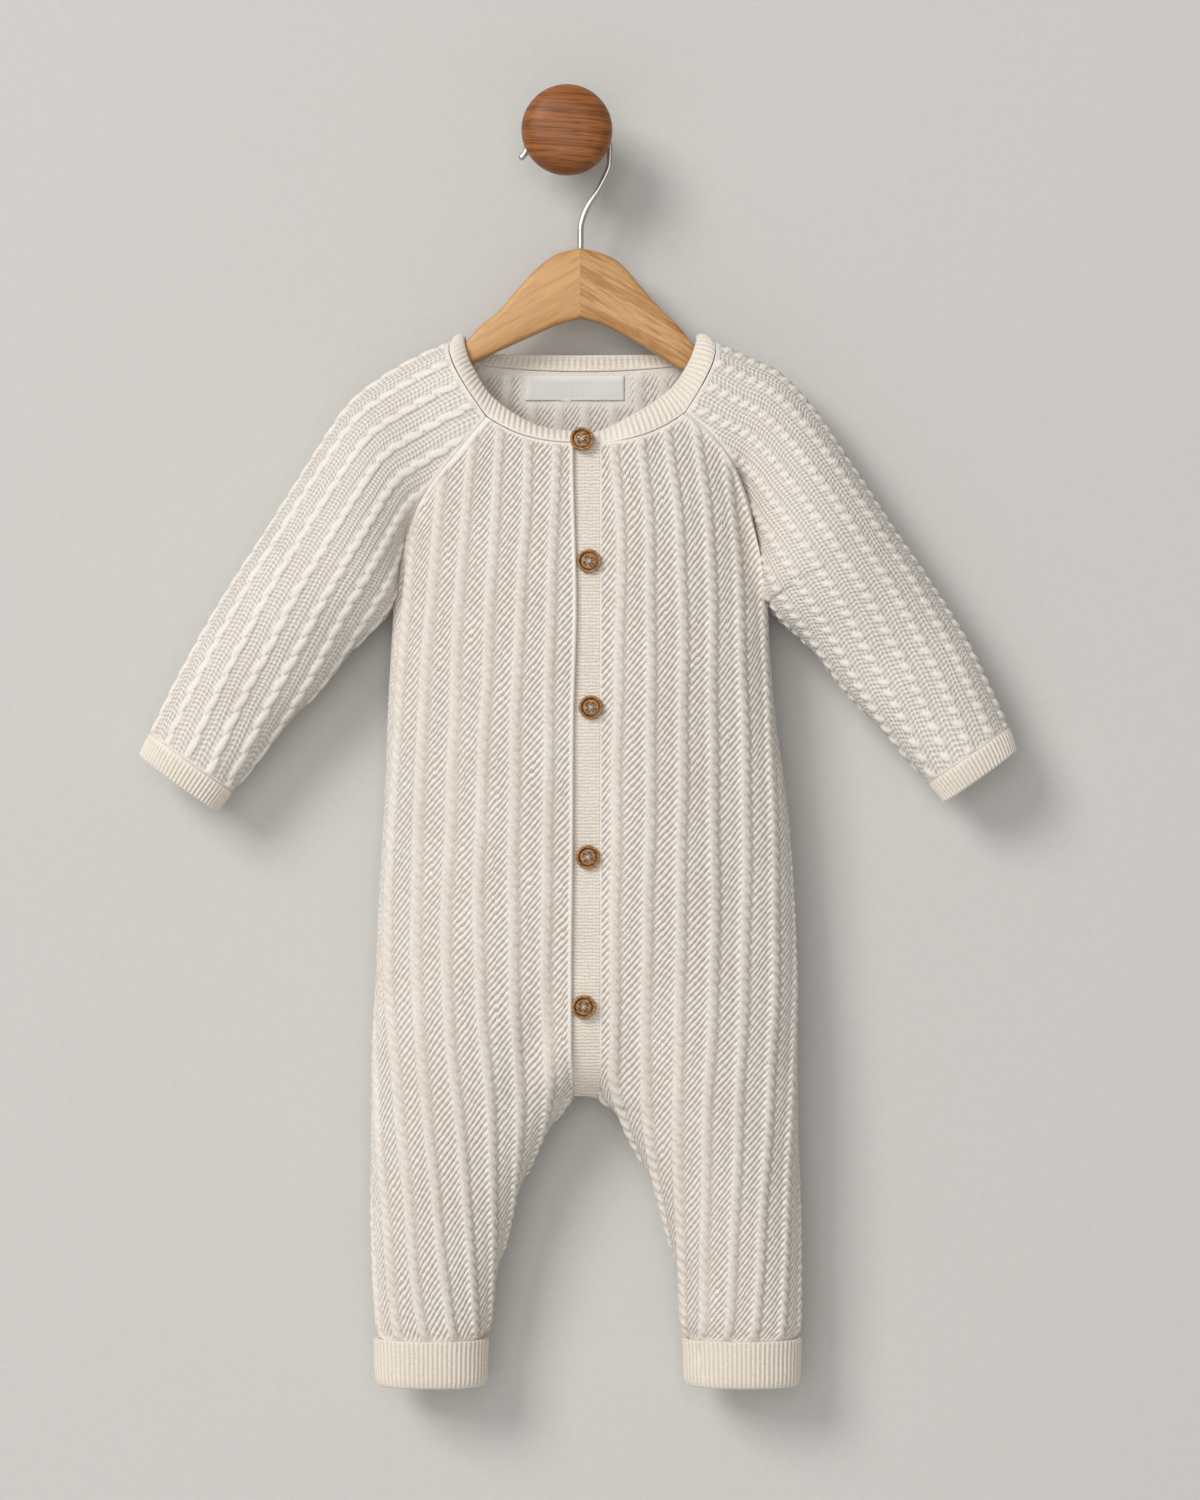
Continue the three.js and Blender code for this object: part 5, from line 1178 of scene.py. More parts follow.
def band_piece():
    """The plain knitted strip that carries the buttons."""
    drops = NECK["front"][0] + 0.25 + spaced(CROTCH_DROP - NECK["front"][0] - 0.25, 1.1) * (CROTCH_DROP - NECK["front"][0] - 0.25)
    share = spaced(22, 0.75)
    under = LAP["under"] * (1 - smooth((drops - LAP["from"]) / (LAP["flush"] - LAP["from"])))
    left = edge_x(drops) - 0.13 - under
    right = np.full(drops.shape, BAND_RIGHT + 0.1)
    x = mix(left[:, None], right[:, None], share[None])
    drop = np.repeat(drops[:, None], len(share), 1)
    y = np.where(x < CROTCH_MIDDLE * smooth((drop - 326) / 40), body_depth("front", "left", x, drop), body_depth("front", "right", x, drop))
    base = np.stack([x, y, -drop], axis=-1)
    normal = grid_normals(base, np.array([0, -1, 0]))
    base[..., 1] += lap_at(BAND_RIGHT, drop)
    edge = x - left[:, None]
    u = x - BAND_RIGHT
    courses = 0.08 * np.cos(2 * np.pi * drop / 2.8) * np.cos(2 * np.pi * u / 3.8)
    puckers = 0.18 * np.sin(drop / 9.5) * np.sin(drop / 23)
    bottom = drops[-1] - drop
    height = courses + puckers - rolled(edge, 0.25) - rolled(drop - drops[0], 0.7) - rolled(bottom, 0.7)
    height = height + 0.5 * bell((bottom - 1.2) / 0.7) - 0.25 * bell((bottom - 2.6) / 0.5)
    parts = MeshParts()
    points = keep_front(base + normal * height[..., None])
    uv = np.stack([u, drop], axis=-1)
    index = parts.add(points, uv)
    parts.face(quads(index))
    cloth_wall(parts, index, base, normal, uv, keep=keep_front)
    return piece("button_band_knit", parts.mesh("button_band_knit"), material_of("band"), ["button_band"])


def sleeve_piece(side):
    grid = base_grids()["sleeve_" + side]
    up = grid.along[-1] - grid.along
    edge = grid.edge
    knit, uv, raised, groove_shade = sleeve_knit(side, grid.ridge, grid.along)
    fade = smooth((edge - 0.6) / 1.4) * smooth((grid.along - 0.8) / 2) * smooth((up - 0.2) / 1.2)
    height = knit * fade * ridge_lift()
    height = height - rolled(edge, 0.6) - rolled(grid.along, 0.4) - rolled(up, 0.2)
    # a dent beside the front seam, deeper on the right, where the sleeve hangs away from the body
    v = grid.rows[:, None]
    ahead = np.arange(edge.shape[1])[None] < edge.shape[1] / 2
    reach = smooth((v - 0.38) / 0.16) * (1 - smooth((v - 0.8) / 0.19))
    dent = (7.5 if side == "right" else 0.9) * bell(edge / 8) * reach * ahead
    # painted shade in the dent, where the body's raised edge shades the sleeve
    groove_shade = np.maximum(groove_shade, 0.6 * bell(edge / 6) * smooth(dent / 5))
    base = grid.points.copy()
    base[..., 1] += dent
    base[..., 0] -= SIGN[side] * 2.2 * smooth((dent - 2.5) / 1.2) * bell(edge / 3)
    shift = np.exp(-((grid.rows - 1) / 0.03) ** 2)[:, None] * np.array([SIGN[side] * 0.3, 0, 0.11])[None]
    base[:, 0] += shift
    base[:, -1] += shift
    points = base + grid.normal * height[..., None]
    parts = MeshParts()
    index = parts.add(points, uv, fade, raised, groove_shade)
    first = grid.first_closed
    index[first:, -1] = index[first:, 0]
    parts.face(quads(index))
    rows, columns = sparse(points.shape[0], 4), sparse(points.shape[1], 4)
    rows = np.unique(np.append(rows, first))
    inner = (base - grid.normal * WALL)[np.ix_(rows, columns)]
    inner_index = parts.add(inner, uv[np.ix_(rows, columns)])
    closed = int(np.flatnonzero(rows == first)[0])
    inner_index[closed:, -1] = inner_index[closed:, 0]
    parts.face(quads(inner_index)[:, ::-1])
    parts.face([face[::-1] for face in rim(index[0], columns, inner_index[0])])
    parts.face(rim(index[-1], columns, inner_index[-1]))
    parts.face(rim(index[:, 0], rows[: closed + 1], inner_index[: closed + 1, 0]))
    parts.face([face[::-1] for face in rim(index[:, -1], rows[: closed + 1], inner_index[: closed + 1, -1])])
    mesh = parts.mesh("sleeve_" + side + "_knit", flip=side == "right")
    return piece("sleeve_" + side + "_knit", mesh, material_of("seed"), ["sleeve_" + side])


def neck_seam(side, p):
    """The neck seam at p and the cloth's direction there."""
    sign = SIGN[side]
    if 1 <= p <= 3:
        points, length, top = ring_line(side, 0.0)
        at = mix(0, top, p - 1) if p < 2 else mix(top, length[-1], p - 2)
        below, below_length, _ = ring_line(side, 0.02)
        share = at / length[-1]
        point = along_line(points, length, at)
        around = along_line(points, length, at + 1) - along_line(points, length, at - 1)
        down = along_line(below, below_length, share * below_length[-1]) - point
        normal = np.cross(around, down) * -sign
        return point, normal / np.linalg.norm(normal)
    face = "front" if p < 1 else "back"
    share = p if p < 1 else 4 - p
    x = sign * float(sleeve_at[side](0)[face + "_x"]) * share

    def at(px, pd):
        return np.array([px, float(body_depth(face, side, np.array(px), np.array(pd))), -pd])

    drop = float(row_drop(face, side, 0.0, x))
    point = at(x, drop)
    normal = np.cross(at(x + 0.5, drop) - at(x - 0.5, drop), at(x, drop + 0.5) - at(x, drop - 0.5))
    normal *= np.sign(normal[1]) * (-1 if face == "front" else 1)
    return point, normal / np.linalg.norm(normal)


def neckband_piece():
    start = abs(BAND_LEFT - GAP) / float(sleeve_at["left"](0)["front_x"])
    steps = 26
    places = [("left", mix(start, 4, i / (4 * steps)), False) for i in range(4 * steps + 1)]
    places += [("right", mix(4, 0, i / (4 * steps)), False) for i in range(1, 4 * steps + 1)]
    places += [("left", (i / 6) * (LAP["under"] - 4) / float(sleeve_at["left"](0)["front_x"]), True) for i in range(1, 7)]
    points, normals, edges, laps = [], [], [], []
    for side, p, under in places:
        point, normal = neck_seam(side, p)
        found = neck_edge_at[side](p)
        points.append(point)
        normals.append(normal)
        edges.append([SIGN[side] * float(found["x"]), -float(found["y"]), -float(found["drop"])])
        laps.append(LAP["depth"] if under else float(lap_at(point[0], 50.0)) if side == "right" and p < 1 else 0.0)
    points, normals, edges, laps = map(np.array, (points, normals, edges, laps))
    along = np.concatenate([points[1:2] - points[0:1], points[2:] - points[:-2], points[-1:] - points[-2:-1]])
    lean = np.cross(along, edges - points)
    lean /= np.linalg.norm(lean, axis=1, keepdims=True)
    lean *= np.sign(np.sum(lean * normals, axis=1, keepdims=True))
    points = points - normals * laps[:, None]
    edges = edges - lean * laps[:, None]
    length = np.concatenate([[0], np.cumsum(np.linalg.norm(np.diff(points, axis=0), axis=1))])
    count = int(round(length[-1] / 2.9))
    s = np.linspace(0, length[-1], count * 10 + 1)
    rise = np.concatenate([[0.015, 0.05, 0.1], np.linspace(0.15, 0.85, 13), [0.92, 0.97, 1.0]])
    point, normal = along_line(points, length, s), along_line(normals, length, s)
    edge, lean = along_line(edges, length, s), along_line(lean, length, s)
    normal /= np.linalg.norm(normal, axis=1, keepdims=True)
    lean /= np.linalg.norm(lean, axis=1, keepdims=True)
    base = mix(point[None], edge[None], rise[:, None, None])
    base = base + lean[None] * (0.9 * np.sin(np.pi * rise))[:, None, None]
    turned = mix(normal[None], lean[None], clamp01(rise / 0.3)[:, None, None])
    turned = turned / np.linalg.norm(turned, axis=2, keepdims=True)
    wide = np.linalg.norm(edge - point, axis=1)
    across = rise[:, None] * wide[None]
    from_edge = wide[None] - across
    ribs = 0.5 - 0.5 * np.cos(2 * np.pi * s[None] / (length[-1] / count))
    raised = smooth(across / 2.6) * smooth(from_edge / 2.2)
    height = 0.6 * ribs**0.7 * raised
    height = height - rolled(across, 0.4) - rolled(from_edge, 0.9)
    end = np.minimum(s, length[-1] - s)[None]
    height = height - rolled(end, 0.8)
    parts = MeshParts()
    uv = np.stack([np.broadcast_to(s[None], height.shape), across], axis=-1)
    # painted shade between the ribs, on the outside and more strongly on the inside
    shaded = (1 - ribs) ** 2 * raised
    index = parts.add(base + turned * height[..., None], uv, 1, ribs * raised, shaded * 0.32)
    parts.face(quads(index)[:, ::-1])
    rows, columns = sparse(len(rise), 3), sparse(len(s), 2)
    at = np.ix_(rows, columns)
    inner_base = base[at] - turned[at] * (WALL + 0.4 * (ribs * raised)[at])[..., None]
    inner = parts.add(inner_base, uv[at], 1, 0, shaded[at] * 0.6)
    parts.face(quads(inner))
    parts.face(rim(index[0], columns, inner[0]))
    parts.face([face[::-1] for face in rim(index[-1], columns, inner[-1])])
    parts.face([face[::-1] for face in rim(index[:, 0], rows, inner[:, 0])])
    parts.face(rim(index[:, -1], rows, inner[:, -1]))
    return piece("neckband_rib", parts.mesh("neckband_rib"), material_of("rib"), ["neckband"])


def closed_normals(points):
    """Directions on a grid whose last column is its first."""
    around = np.roll(points, -1, axis=1) - np.roll(points, 1, axis=1)
    down = np.gradient(points, axis=0)
    normal = np.cross(around, down)
    return normal / np.maximum(1e-9, np.linalg.norm(normal, axis=2, keepdims=True))


def ring_wrap(index):
    return np.concatenate([index, index[:, :1]], axis=1)


def sleeve_cuff_piece(side):
    v = np.concatenate([[2.016, 2.03, 2.06], np.linspace(2.11, 2.88, 14), [2.93, 2.97, 3.0]])
    count = int(round(ring_line(side, 2.5)[1][-1] / 2.1))
    columns = count * 8
    base = np.zeros((len(v), columns, 3))
    for i, value in enumerate(v):
        points, length, _ = ring_line(side, float(value), 144)
        base[i] = along_line(points, length, np.arange(columns) / columns * length[-1])
    normal = closed_normals(base)
    centre = base.mean(axis=1, keepdims=True)
    normal *= np.sign(np.sum(normal * (base - centre)))
    ribs = 0.5 - 0.5 * np.cos(2 * np.pi * np.arange(columns) / 8)
    ends = smooth((v - 2.015) / 0.08) * smooth((3.0 - v) / 0.06)
    height = 0.6 * (ribs**0.8)[None] * ends[:, None] - 0.6 * (1 - smooth((3.0 - v) / 0.06))[:, None]
    uv = np.stack(np.broadcast_arrays(np.arange(columns)[None] * 2.1 / 8, ((v - 2) * 12.0)[:, None]), axis=-1)
    parts = MeshParts()
    # painted shade between the ribs
    shaded = ((1 - ribs) ** 1.5)[None] * ends[:, None] * 0.6
    index = parts.add(base + normal * height[..., None], uv, 1, ribs[None] * ends[:, None], shaded)
    parts.face(quads(ring_wrap(index)))
    rows = sparse(len(v), 3)
    picked = np.arange(0, columns, 4)
    inner = parts.add((base - normal * WALL)[np.ix_(rows, picked)], uv[np.ix_(rows, picked)])
    parts.face(quads(ring_wrap(inner))[:, ::-1])
    ring_columns = np.append(picked, columns)
    parts.face([face[::-1] for face in rim(ring_wrap(index)[0], ring_columns, ring_wrap(inner)[0])])
    parts.face(rim(ring_wrap(index)[-1], ring_columns, ring_wrap(inner)[-1]))
    mesh = parts.mesh("sleeve_cuff_" + side + "_rib", flip=side == "right")
    return piece("sleeve_cuff_" + side + "_rib", mesh, material_of("rib"), ["sleeve_cuff_" + side])


def leg_outline(side, drop):
    front, back = Section("front", side, drop), Section("back", side, drop)
    x = np.concatenate([front.x, back.x[::-1][1:]])
    y = np.concatenate([front.y, back.y[::-1][1:]])
    points = np.stack([x, y, np.full(len(x), -drop)], axis=1)
    length = np.concatenate([[0], np.cumsum(np.linalg.norm(np.diff(points, axis=0), axis=1))])
    return points, length


def leg_cuff_piece(side):
    count = int(round(leg_outline(side, 494.0)[1][-1] / 2.1))
    columns = count * 6
    rows = len(TURN_UP["drop"])
    fine = np.interp(np.linspace(0, rows - 1, 3 * (rows - 1) + 1), np.arange(rows), np.arange(rows))
    offset, drop, raised = (np.interp(fine, np.arange(rows), TURN_UP[name]) for name in ("offset", "drop", "ribs"))
    ribs = 0.5 - 0.5 * np.cos(2 * np.pi * np.arange(columns) / 6)
    points = np.zeros((len(fine), columns, 3))
    for i in range(len(fine)):
        line, length = leg_outline(side, float(drop[i]))
        at = np.arange(columns) / columns * length[-1]
        here = along_line(line, length, at)
        around = along_line(line, length, (at + 1.5) % length[-1]) - along_line(line, length, (at - 1.5) % length[-1])
        normal = np.stack([around[:, 1], -around[:, 0], np.zeros(columns)], axis=1)
        normal /= np.linalg.norm(normal, axis=1, keepdims=True)
        out = offset[i] + 0.6 * ribs**0.8 * raised[i]
        if side == "right":
            fold = (here[:, 0] - LEGS["right"][-1] - mix(4.5, 8.5, (float(drop[i]) - 482) / 22)) / 0.55
            out = out - 0.7 * bell(fold) * raised[i] * (here[:, 1] < -SIDE_DEPTH)
        points[i] = here + normal * (-SIGN[side] * out)[:, None]
    uv = np.stack(np.broadcast_arrays(np.arange(columns)[None] * 2.1 / 6, drop[:, None]), axis=-1)
    parts = MeshParts()
    # painted shade: the ribbed outer face of the turn-up is darkened all over, and more between the ribs
    shaded = (0.28 + 0.42 * (1 - ribs) ** 1.5)[None] * raised[:, None]
    index = parts.add(points, uv, 1, ribs[None] * raised[:, None], shaded)
    closed = np.concatenate([index, index[:1]])
    parts.face(quads(ring_wrap(closed)))
    mesh = parts.mesh("leg_cuff_" + side + "_rib", flip=side == "right")
    return piece("leg_cuff_" + side + "_rib", mesh, material_of("rib"), ["leg_cuff_" + side])


def label_piece():
    x = np.linspace(LABEL["left"], LABEL["right"], 49)
    drop = np.linspace(LABEL["top"], LABEL["bottom"], 17)
    gx, gd = np.meshgrid(x, drop)
    y = np.where(gx < 0, body_depth("back", "left", gx, gd), body_depth("back", "right", gx, gd))
    base = np.stack([gx, y, -gd], axis=-1)
    normal = grid_normals(base, np.array([0, 1, 0]))
    near = np.minimum(np.minimum(gx - x[0], x[-1] - gx), np.minimum(gd - drop[0], drop[-1] - gd))
    stitch = 0.15 * bell((near - 1.3) / 0.45)
    wave = 0.12 * np.sin(gx / 5.1) * np.sin(gd / 2.7)
    face = base - normal * (WALL + 0.35 + LABEL["thick"] - 0.25 - wave - rolled(near, 0.35) - stitch)[..., None]
    back = base - normal * (WALL + 0.35)
    uv = np.stack([gx, gd], axis=-1)
    parts = MeshParts()
    outer, inner = parts.add(back, uv), parts.add(face, uv, 0, 0.6 * bell((near - 1.0) / 0.8))
    parts.face(quads(outer)[:, ::-1])
    parts.face(quads(inner))
    for a, b in ((outer[0], inner[0]), (outer[-1][::-1], inner[-1][::-1]), (outer[::-1, 0], inner[::-1, 0]), (outer[:, -1], inner[:, -1])):
        parts.face(quads(np.stack([a, b])))
    return piece("neck_label_tape", parts.mesh("neck_label_tape"), material_of("label"), ["neck_label"])


def lathe_mesh(name, profile, segments, closed_start=True):
    """A turned form about +Z from (radius, height) pairs in millimetres."""
    points, faces = [], []
    for radius, height in profile:
        for k in range(segments):
            angle = 2 * math.pi * k / segments
            points.append((radius * math.cos(angle) * MM, radius * math.sin(angle) * MM, height * MM))
    for i in range(len(profile) - 1):
        for k in range(segments):
            j = (k + 1) % segments
            faces.append((i * segments + k, i * segments + j, (i + 1) * segments + j, (i + 1) * segments + k))
    last = (len(profile) - 1) * segments
    faces.append(tuple(reversed(range(segments))))
    faces.append(tuple(last + k for k in range(segments)))
    mesh = bpy.data.meshes.new(name)
    mesh.from_pydata(points, [], faces)
    mesh.validate()
    return mesh


def rounded_profile(corners, radius=0.4, steps=4):
    """A profile whose inner corners are rounded."""
    found = [corners[0]]
    for before, here, after in zip(corners, corners[1:], corners[2:]):
        a, b, c = map(np.array, (before, here, after))
        into, out = a - b, c - b
        reach = min(radius, np.linalg.norm(into) * 0.45, np.linalg.norm(out) * 0.45)
        p = b + into / np.linalg.norm(into) * reach
        q = b + out / np.linalg.norm(out) * reach
        for k in range(steps + 1):
            t = k / steps
            found.append(tuple((1 - t) ** 2 * p + 2 * t * (1 - t) * b + t * t * q))
    found.append(corners[-1])
    return found


def cut_holes(obj, places, radius, depth):
    """Drills straight holes through a piece with boolean cutters."""
    for x, y in places:
        drill = bpy.data.objects.new("drill", lathe_mesh("drill", [(radius, -depth), (radius, depth)], 16))
        bpy.context.scene.collection.objects.link(drill)
        drill.location = (x * MM, y * MM, 0)
        cutter = obj.modifiers.new("hole", "BOOLEAN")
        cutter.object, cutter.operation, cutter.solver = drill, "DIFFERENCE", "EXACT"
        bpy.context.view_layer.update()
        cut = bpy.data.meshes.new_from_object(obj.evaluated_get(bpy.context.evaluated_depsgraph_get()))
        obj.modifiers.clear()
        obj.data = cut
        bpy.data.objects.remove(drill)


def smooth_by_angle(mesh, degrees=40):
    mesh.shade_smooth()
    mesh.set_sharp_from_angle(angle=math.radians(degrees))


def button_mesh():
    """A turned wooden button: raised rim, a ring cut deeply inside it, a dished face and four holes, with painted shade
    in that ring and round the holes.
    """
    corners = [
        (0.05, 0), (5.0, 0), (5.7, 0.8), (5.75, 1.9), (5.3, 2.6), (4.75, 2.6), (4.2, 1.5), (3.8, 1.25),
        (3.4, 1.55), (1.6, 1.75), (0.05, 1.75),
    ]
    mesh = lathe_mesh("button", rounded_profile(corners, 0.35, 3), 48)
    obj = bpy.data.objects.new("button_blank", mesh)
    bpy.context.scene.collection.objects.link(obj)
    holes = [(s * 1.35, t * 1.35) for s in (-1, 1) for t in (-1, 1)]
    cut_holes(obj, holes, 0.8, 8)
    result = obj.data
    co = np.zeros(len(result.vertices) * 3)
    result.vertices.foreach_get("co", co)
    co = co.reshape(-1, 3) / MM
    radius = np.hypot(co[:, 0], co[:, 1])
    # painted shade in the ring inside the rim and round the holes, where shade falls; the dished face is made a little
    # lighter
    burnt = (0.6 * bell((radius - 4.0) / 0.45) - 0.3 * (radius < 3.6)) * (co[:, 2] > 1)
    for x, y in holes:
        burnt = np.maximum(burnt, bell((np.hypot(co[:, 0] - x, co[:, 1] - y) - 0.6) / 0.35))
    attribute = result.attributes.new("burnt", "FLOAT", "POINT")
    attribute.data.foreach_set("value", burnt.astype(np.float32))
    bpy.data.objects.remove(obj)
    smooth_by_angle(result, 35)
    return result


def button_places():
    """Middle and axis of each button, from its solid's box and the cloth's slope behind it."""
    found = []
    for i in range(len(BUTTONS["x"])):
        low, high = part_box("button_%d" % (i + 1))
        x, drop = BUTTONS["x"][i], BUTTONS["drop"][i]
        side = "left" if x < 0 else "right"
        depth = [float(body_depth("front", side, np.array(x), np.array(d))) for d in (drop - 1, drop + 1)]
        axis = Vector((0, -2, -(depth[1] - depth[0]) * 1.0)).normalized()
        centre = (Vector(low) + Vector(high)) / 2
        found.append((centre, axis))
    return found


def buttons_pieces():
    blank = button_mesh()
    turns = (8, -14, 3, 20, -6)
    for i, (centre, axis) in enumerate(button_places()):
        mesh = blank.copy()
        frame_turn = Vector((0, 0, 1)).rotation_difference(axis).to_matrix().to_4x4()
        spin = Matrix.Rotation(math.radians(turns[i]), 4, "Z")
        place = Matrix.Translation(centre - axis * 1.3 * MM) @ frame_turn @ spin
        mesh.transform(place)
        mesh.name = "button_%d_wood" % (i + 1)
        piece(mesh.name, mesh, material_of("button"), ["button_%d" % (i + 1)])
        threads = thread_mesh()
        threads.transform(place)
        threads.name = "button_%d_thread" % (i + 1)
        piece(threads.name, threads, material_of("thread"))


def thread_mesh():
    """Sewing thread crossed twice over a button's four holes."""
    points, faces = [], []
    for sign, lift in ((1, 0), (-1, 0.2)):
        for shift in (-0.13, 0.13):
            line = []
            for k in range(13):
                t = k / 12
                along = mix(-1.05, 1.05, t)
                height = 0.9 + (1.2 + lift) * math.sin(math.pi * t) ** 0.45
                across = shift * (0.6 + 0.4 * math.sin(math.pi * t))
                line.append(Vector((along + across, sign * along - sign * across, height)))
            tube(points, faces, line, 0.12, 8)
    mesh = bpy.data.meshes.new("thread")
    mesh.from_pydata([p * MM for p in points], [], faces)
    mesh.shade_smooth()
    return mesh


def tube(points, faces, line, radius, sides, taper=None):
    """Adds a closed round tube along a line of points."""
    start = len(points)
    for i, point in enumerate(line):
        before, after = line[max(0, i - 1)], line[min(len(line) - 1, i + 1)]
        ahead = (after - before).normalized()
        side = ahead.cross(Vector((0, 1, 0.001))).normalized()
        if side.length < 0.5:
            side = Vector((1, 0, 0))
        up = ahead.cross(side).normalized()
        r = radius * (taper[i] if taper else 1)
        for k in range(sides):
            angle = 2 * math.pi * k / sides
            points.append(point + side * (r * math.cos(angle)) + up * (r * math.sin(angle)))
    for i in range(len(line) - 1):
        for k in range(sides):
            j = (k + 1) % sides
            a, b = start + i * sides, start + (i + 1) * sides
            faces.append((a + k, a + j, b + j, b + k))
    faces.append(tuple(reversed([start + k for k in range(sides)])))
    faces.append(tuple(start + (len(line) - 1) * sides + k for k in range(sides)))


def hanger_piece(side):
    """One sawn and rounded half of the hanger."""
    sign = SIGN[side]
    rows = ARMS[side]
    at = track(rows, "x")
    x = np.concatenate([[0.02], np.linspace(1.5, rows["x"][-1], 90)])
    found = at(x)
    around = 2 * np.pi * (np.arange(40) + 0.5) / 40
    corner = 0.42
    across = np.sign(np.cos(around)) * np.abs(np.cos(around)) ** corner
    up = np.sign(np.sin(around)) * np.abs(np.sin(around)) ** corner
    px = np.repeat((HANGER_X + sign * x)[:, None], 40, 1)
    py = -SHOULDER_DEPTH + across[None] * found["thick"][:, None] / 2
    pz = -mix(found["top"][:, None], found["bottom"][:, None], (1 - up[None]) / 2)
    points = np.stack([px, py, pz], axis=-1)
    parts = MeshParts()
    index = parts.add(points, np.stack([px, pz], axis=-1))
    parts.face(quads(ring_wrap(index)))
    parts.face([index[0].tolist(), index[-1].tolist()[::-1]])
    mesh = parts.mesh("hanger_half_" + side + "_wood", flip=side == "right")
    mesh.set_sharp_from_angle(angle=math.radians(60))
    return piece("hanger_half_" + side + "_wood", mesh, material_of("hanger_" + side), ["hanger_half_" + side])


def hook_piece():
    """The wire bent round the knob's stem and down into the hanger."""
    places = list(HOOK_END)
    for degrees in np.arange(150, -0.1, -6.0):
        angle = math.radians(degrees)
        places.append((LOOP["x"] + LOOP["radius"] * math.cos(angle), -LOOP["z"] - LOOP["radius"] * math.sin(angle)))
    middle = [Vector((x, -SHOULDER_DEPTH, -drop)) for x, drop in places + list(SHANK)]
    line = curve_through(middle, 5)
    taper = [0.1, 0.62, 0.82, 0.93, 0.98] + [1.0] * (len(line) - 5)
    points, faces = [], []
    tube(points, faces, line, LOOP["wire"], 20, taper)
    mesh = bpy.data.meshes.new("hanger_hook_wire")
    mesh.from_pydata([p * MM for p in points], [], faces)
    mesh.shade_smooth()
    return piece("hanger_hook_wire", mesh, material_of("wire"), ["hanger_hook"])


def curve_through(points, steps):
    """A smooth line through points."""
    found = []
    count = len(points)
    for i in range(count - 1):
        p0, p1 = points[max(0, i - 1)], points[i]
        p2, p3 = points[i + 1], points[min(count - 1, i + 2)]
        for k in range(steps):
            t = k / steps
            found.append(0.5 * ((2 * p1) + (p2 - p0) * t + (2 * p0 - 5 * p1 + 4 * p2 - p3) * t * t + (3 * p1 - p0 - 3 * p2 + p3) * t**3))
    found.append(points[-1].copy())
    return found


def knob_piece():
    """The turned knob on its stem, its back against the wall."""
    radius, stem_radius, stem, depth = KNOB["radius"], KNOB["stem_radius"], KNOB["stem"], KNOB["depth"]
    corners = [
        (0.05, 0), (stem_radius + 1.5, 0), (stem_radius + 1.5, 2), (stem_radius, 4), (stem_radius, stem),
        (stem_radius + 3, stem + 1.5), (radius - 2, stem + 5.5), (radius, stem + 11), (radius - 0.8, depth - 6.5),
        (radius - 4, depth - 2.6), (radius - 10, depth - 0.5), (0.05, depth),
    ]
    mesh = lathe_mesh("wall_knob_wood", rounded_profile(corners, 5, 6), 72)
    mesh.transform(Matrix.Rotation(math.radians(90), 4, "X"))
    smooth_by_angle(mesh, 50)
    return piece("wall_knob_wood", mesh, material_of("knob"), ["wall_knob"])


# Settings, operators and panel

def colour_property(name, description, hex_colour):
    return bpy.props.FloatVectorProperty(
        name=name, description=description, subtype="COLOR", size=3, min=0, max=1, default=linear(hex_colour)
    )


class RomperYarn(bpy.types.PropertyGroup):
    cable_colour: colour_property("Yarn", "Colour of the cables and raised stitches", "F9F4ED")
    # painted shade: the colour of the knit between stitches and in furrows
    stitch_shade_colour: colour_property("Gaps", "Colour deep between the stitches", "C8BBAC")
    rib_colour: colour_property("Ribs", "Colour of the ribbed bands and the button band", "F6EFE4")
    # painted shade: the colour between the ribs and between the loops of the plain knits
    rib_shade_colour: colour_property("Rib gaps", "Colour between the ribs", "C6B7A4")


class RomperCloth(bpy.types.PropertyGroup):
    ridge_height: bpy.props.FloatProperty(
        name="Ridge height", description="How far the cables stand out of the cloth", default=1.7 * MM, min=0, max=0.003, unit="LENGTH"
    )


class RomperWood(bpy.types.PropertyGroup):
    hanger_colour: colour_property("Hanger", "Light colour of the hanger's wood", "DAAC75")
    knob_colour: colour_property("Knob", "Light colour of the knob's wood", "B06C36")
    button_colour: colour_property("Buttons", "Light colour of the buttons' wood", "D6A268")


class ROMPER_OT_knob(bpy.types.Operator):
    """Add the turned wall knob and the bent wire hook"""

    bl_idname = "romper.knob"
    bl_label = "Knob and hook"

    def execute(self, context):
        knob_piece()
        hook_piece()
        return {"FINISHED"}


class ROMPER_OT_hanger(bpy.types.Operator):
    """Add the two halves of the wooden hanger"""

    bl_idname = "romper.hanger"
    bl_label = "Hanger"

    def execute(self, context):
        for side in SIGN:
            hanger_piece(side)
        return {"FINISHED"}


class ROMPER_OT_back(bpy.types.Operator):
    """Add the knitted back panel"""

    bl_idname = "romper.back"
    bl_label = "Back"

    def execute(self, context):
        back_piece()
        return {"FINISHED"}


class ROMPER_OT_fronts(bpy.types.Operator):
    """Add the two knitted fronts with their legs"""

    bl_idname = "romper.fronts"
    bl_label = "Fronts"

    def execute(self, context):
        for side in SIGN:
            front_piece(side)
        return {"FINISHED"}


class ROMPER_OT_band(bpy.types.Operator):
    """Add the plain button band"""

    bl_idname = "romper.band"
    bl_label = "Button band"

    def execute(self, context):
        band_piece()
        return {"FINISHED"}


class ROMPER_OT_sleeves(bpy.types.Operator):
    """Add the two raglan sleeves"""

    bl_idname = "romper.sleeves"
    bl_label = "Sleeves"

    def execute(self, context):
        for side in SIGN:
            sleeve_piece(side)
        return {"FINISHED"}


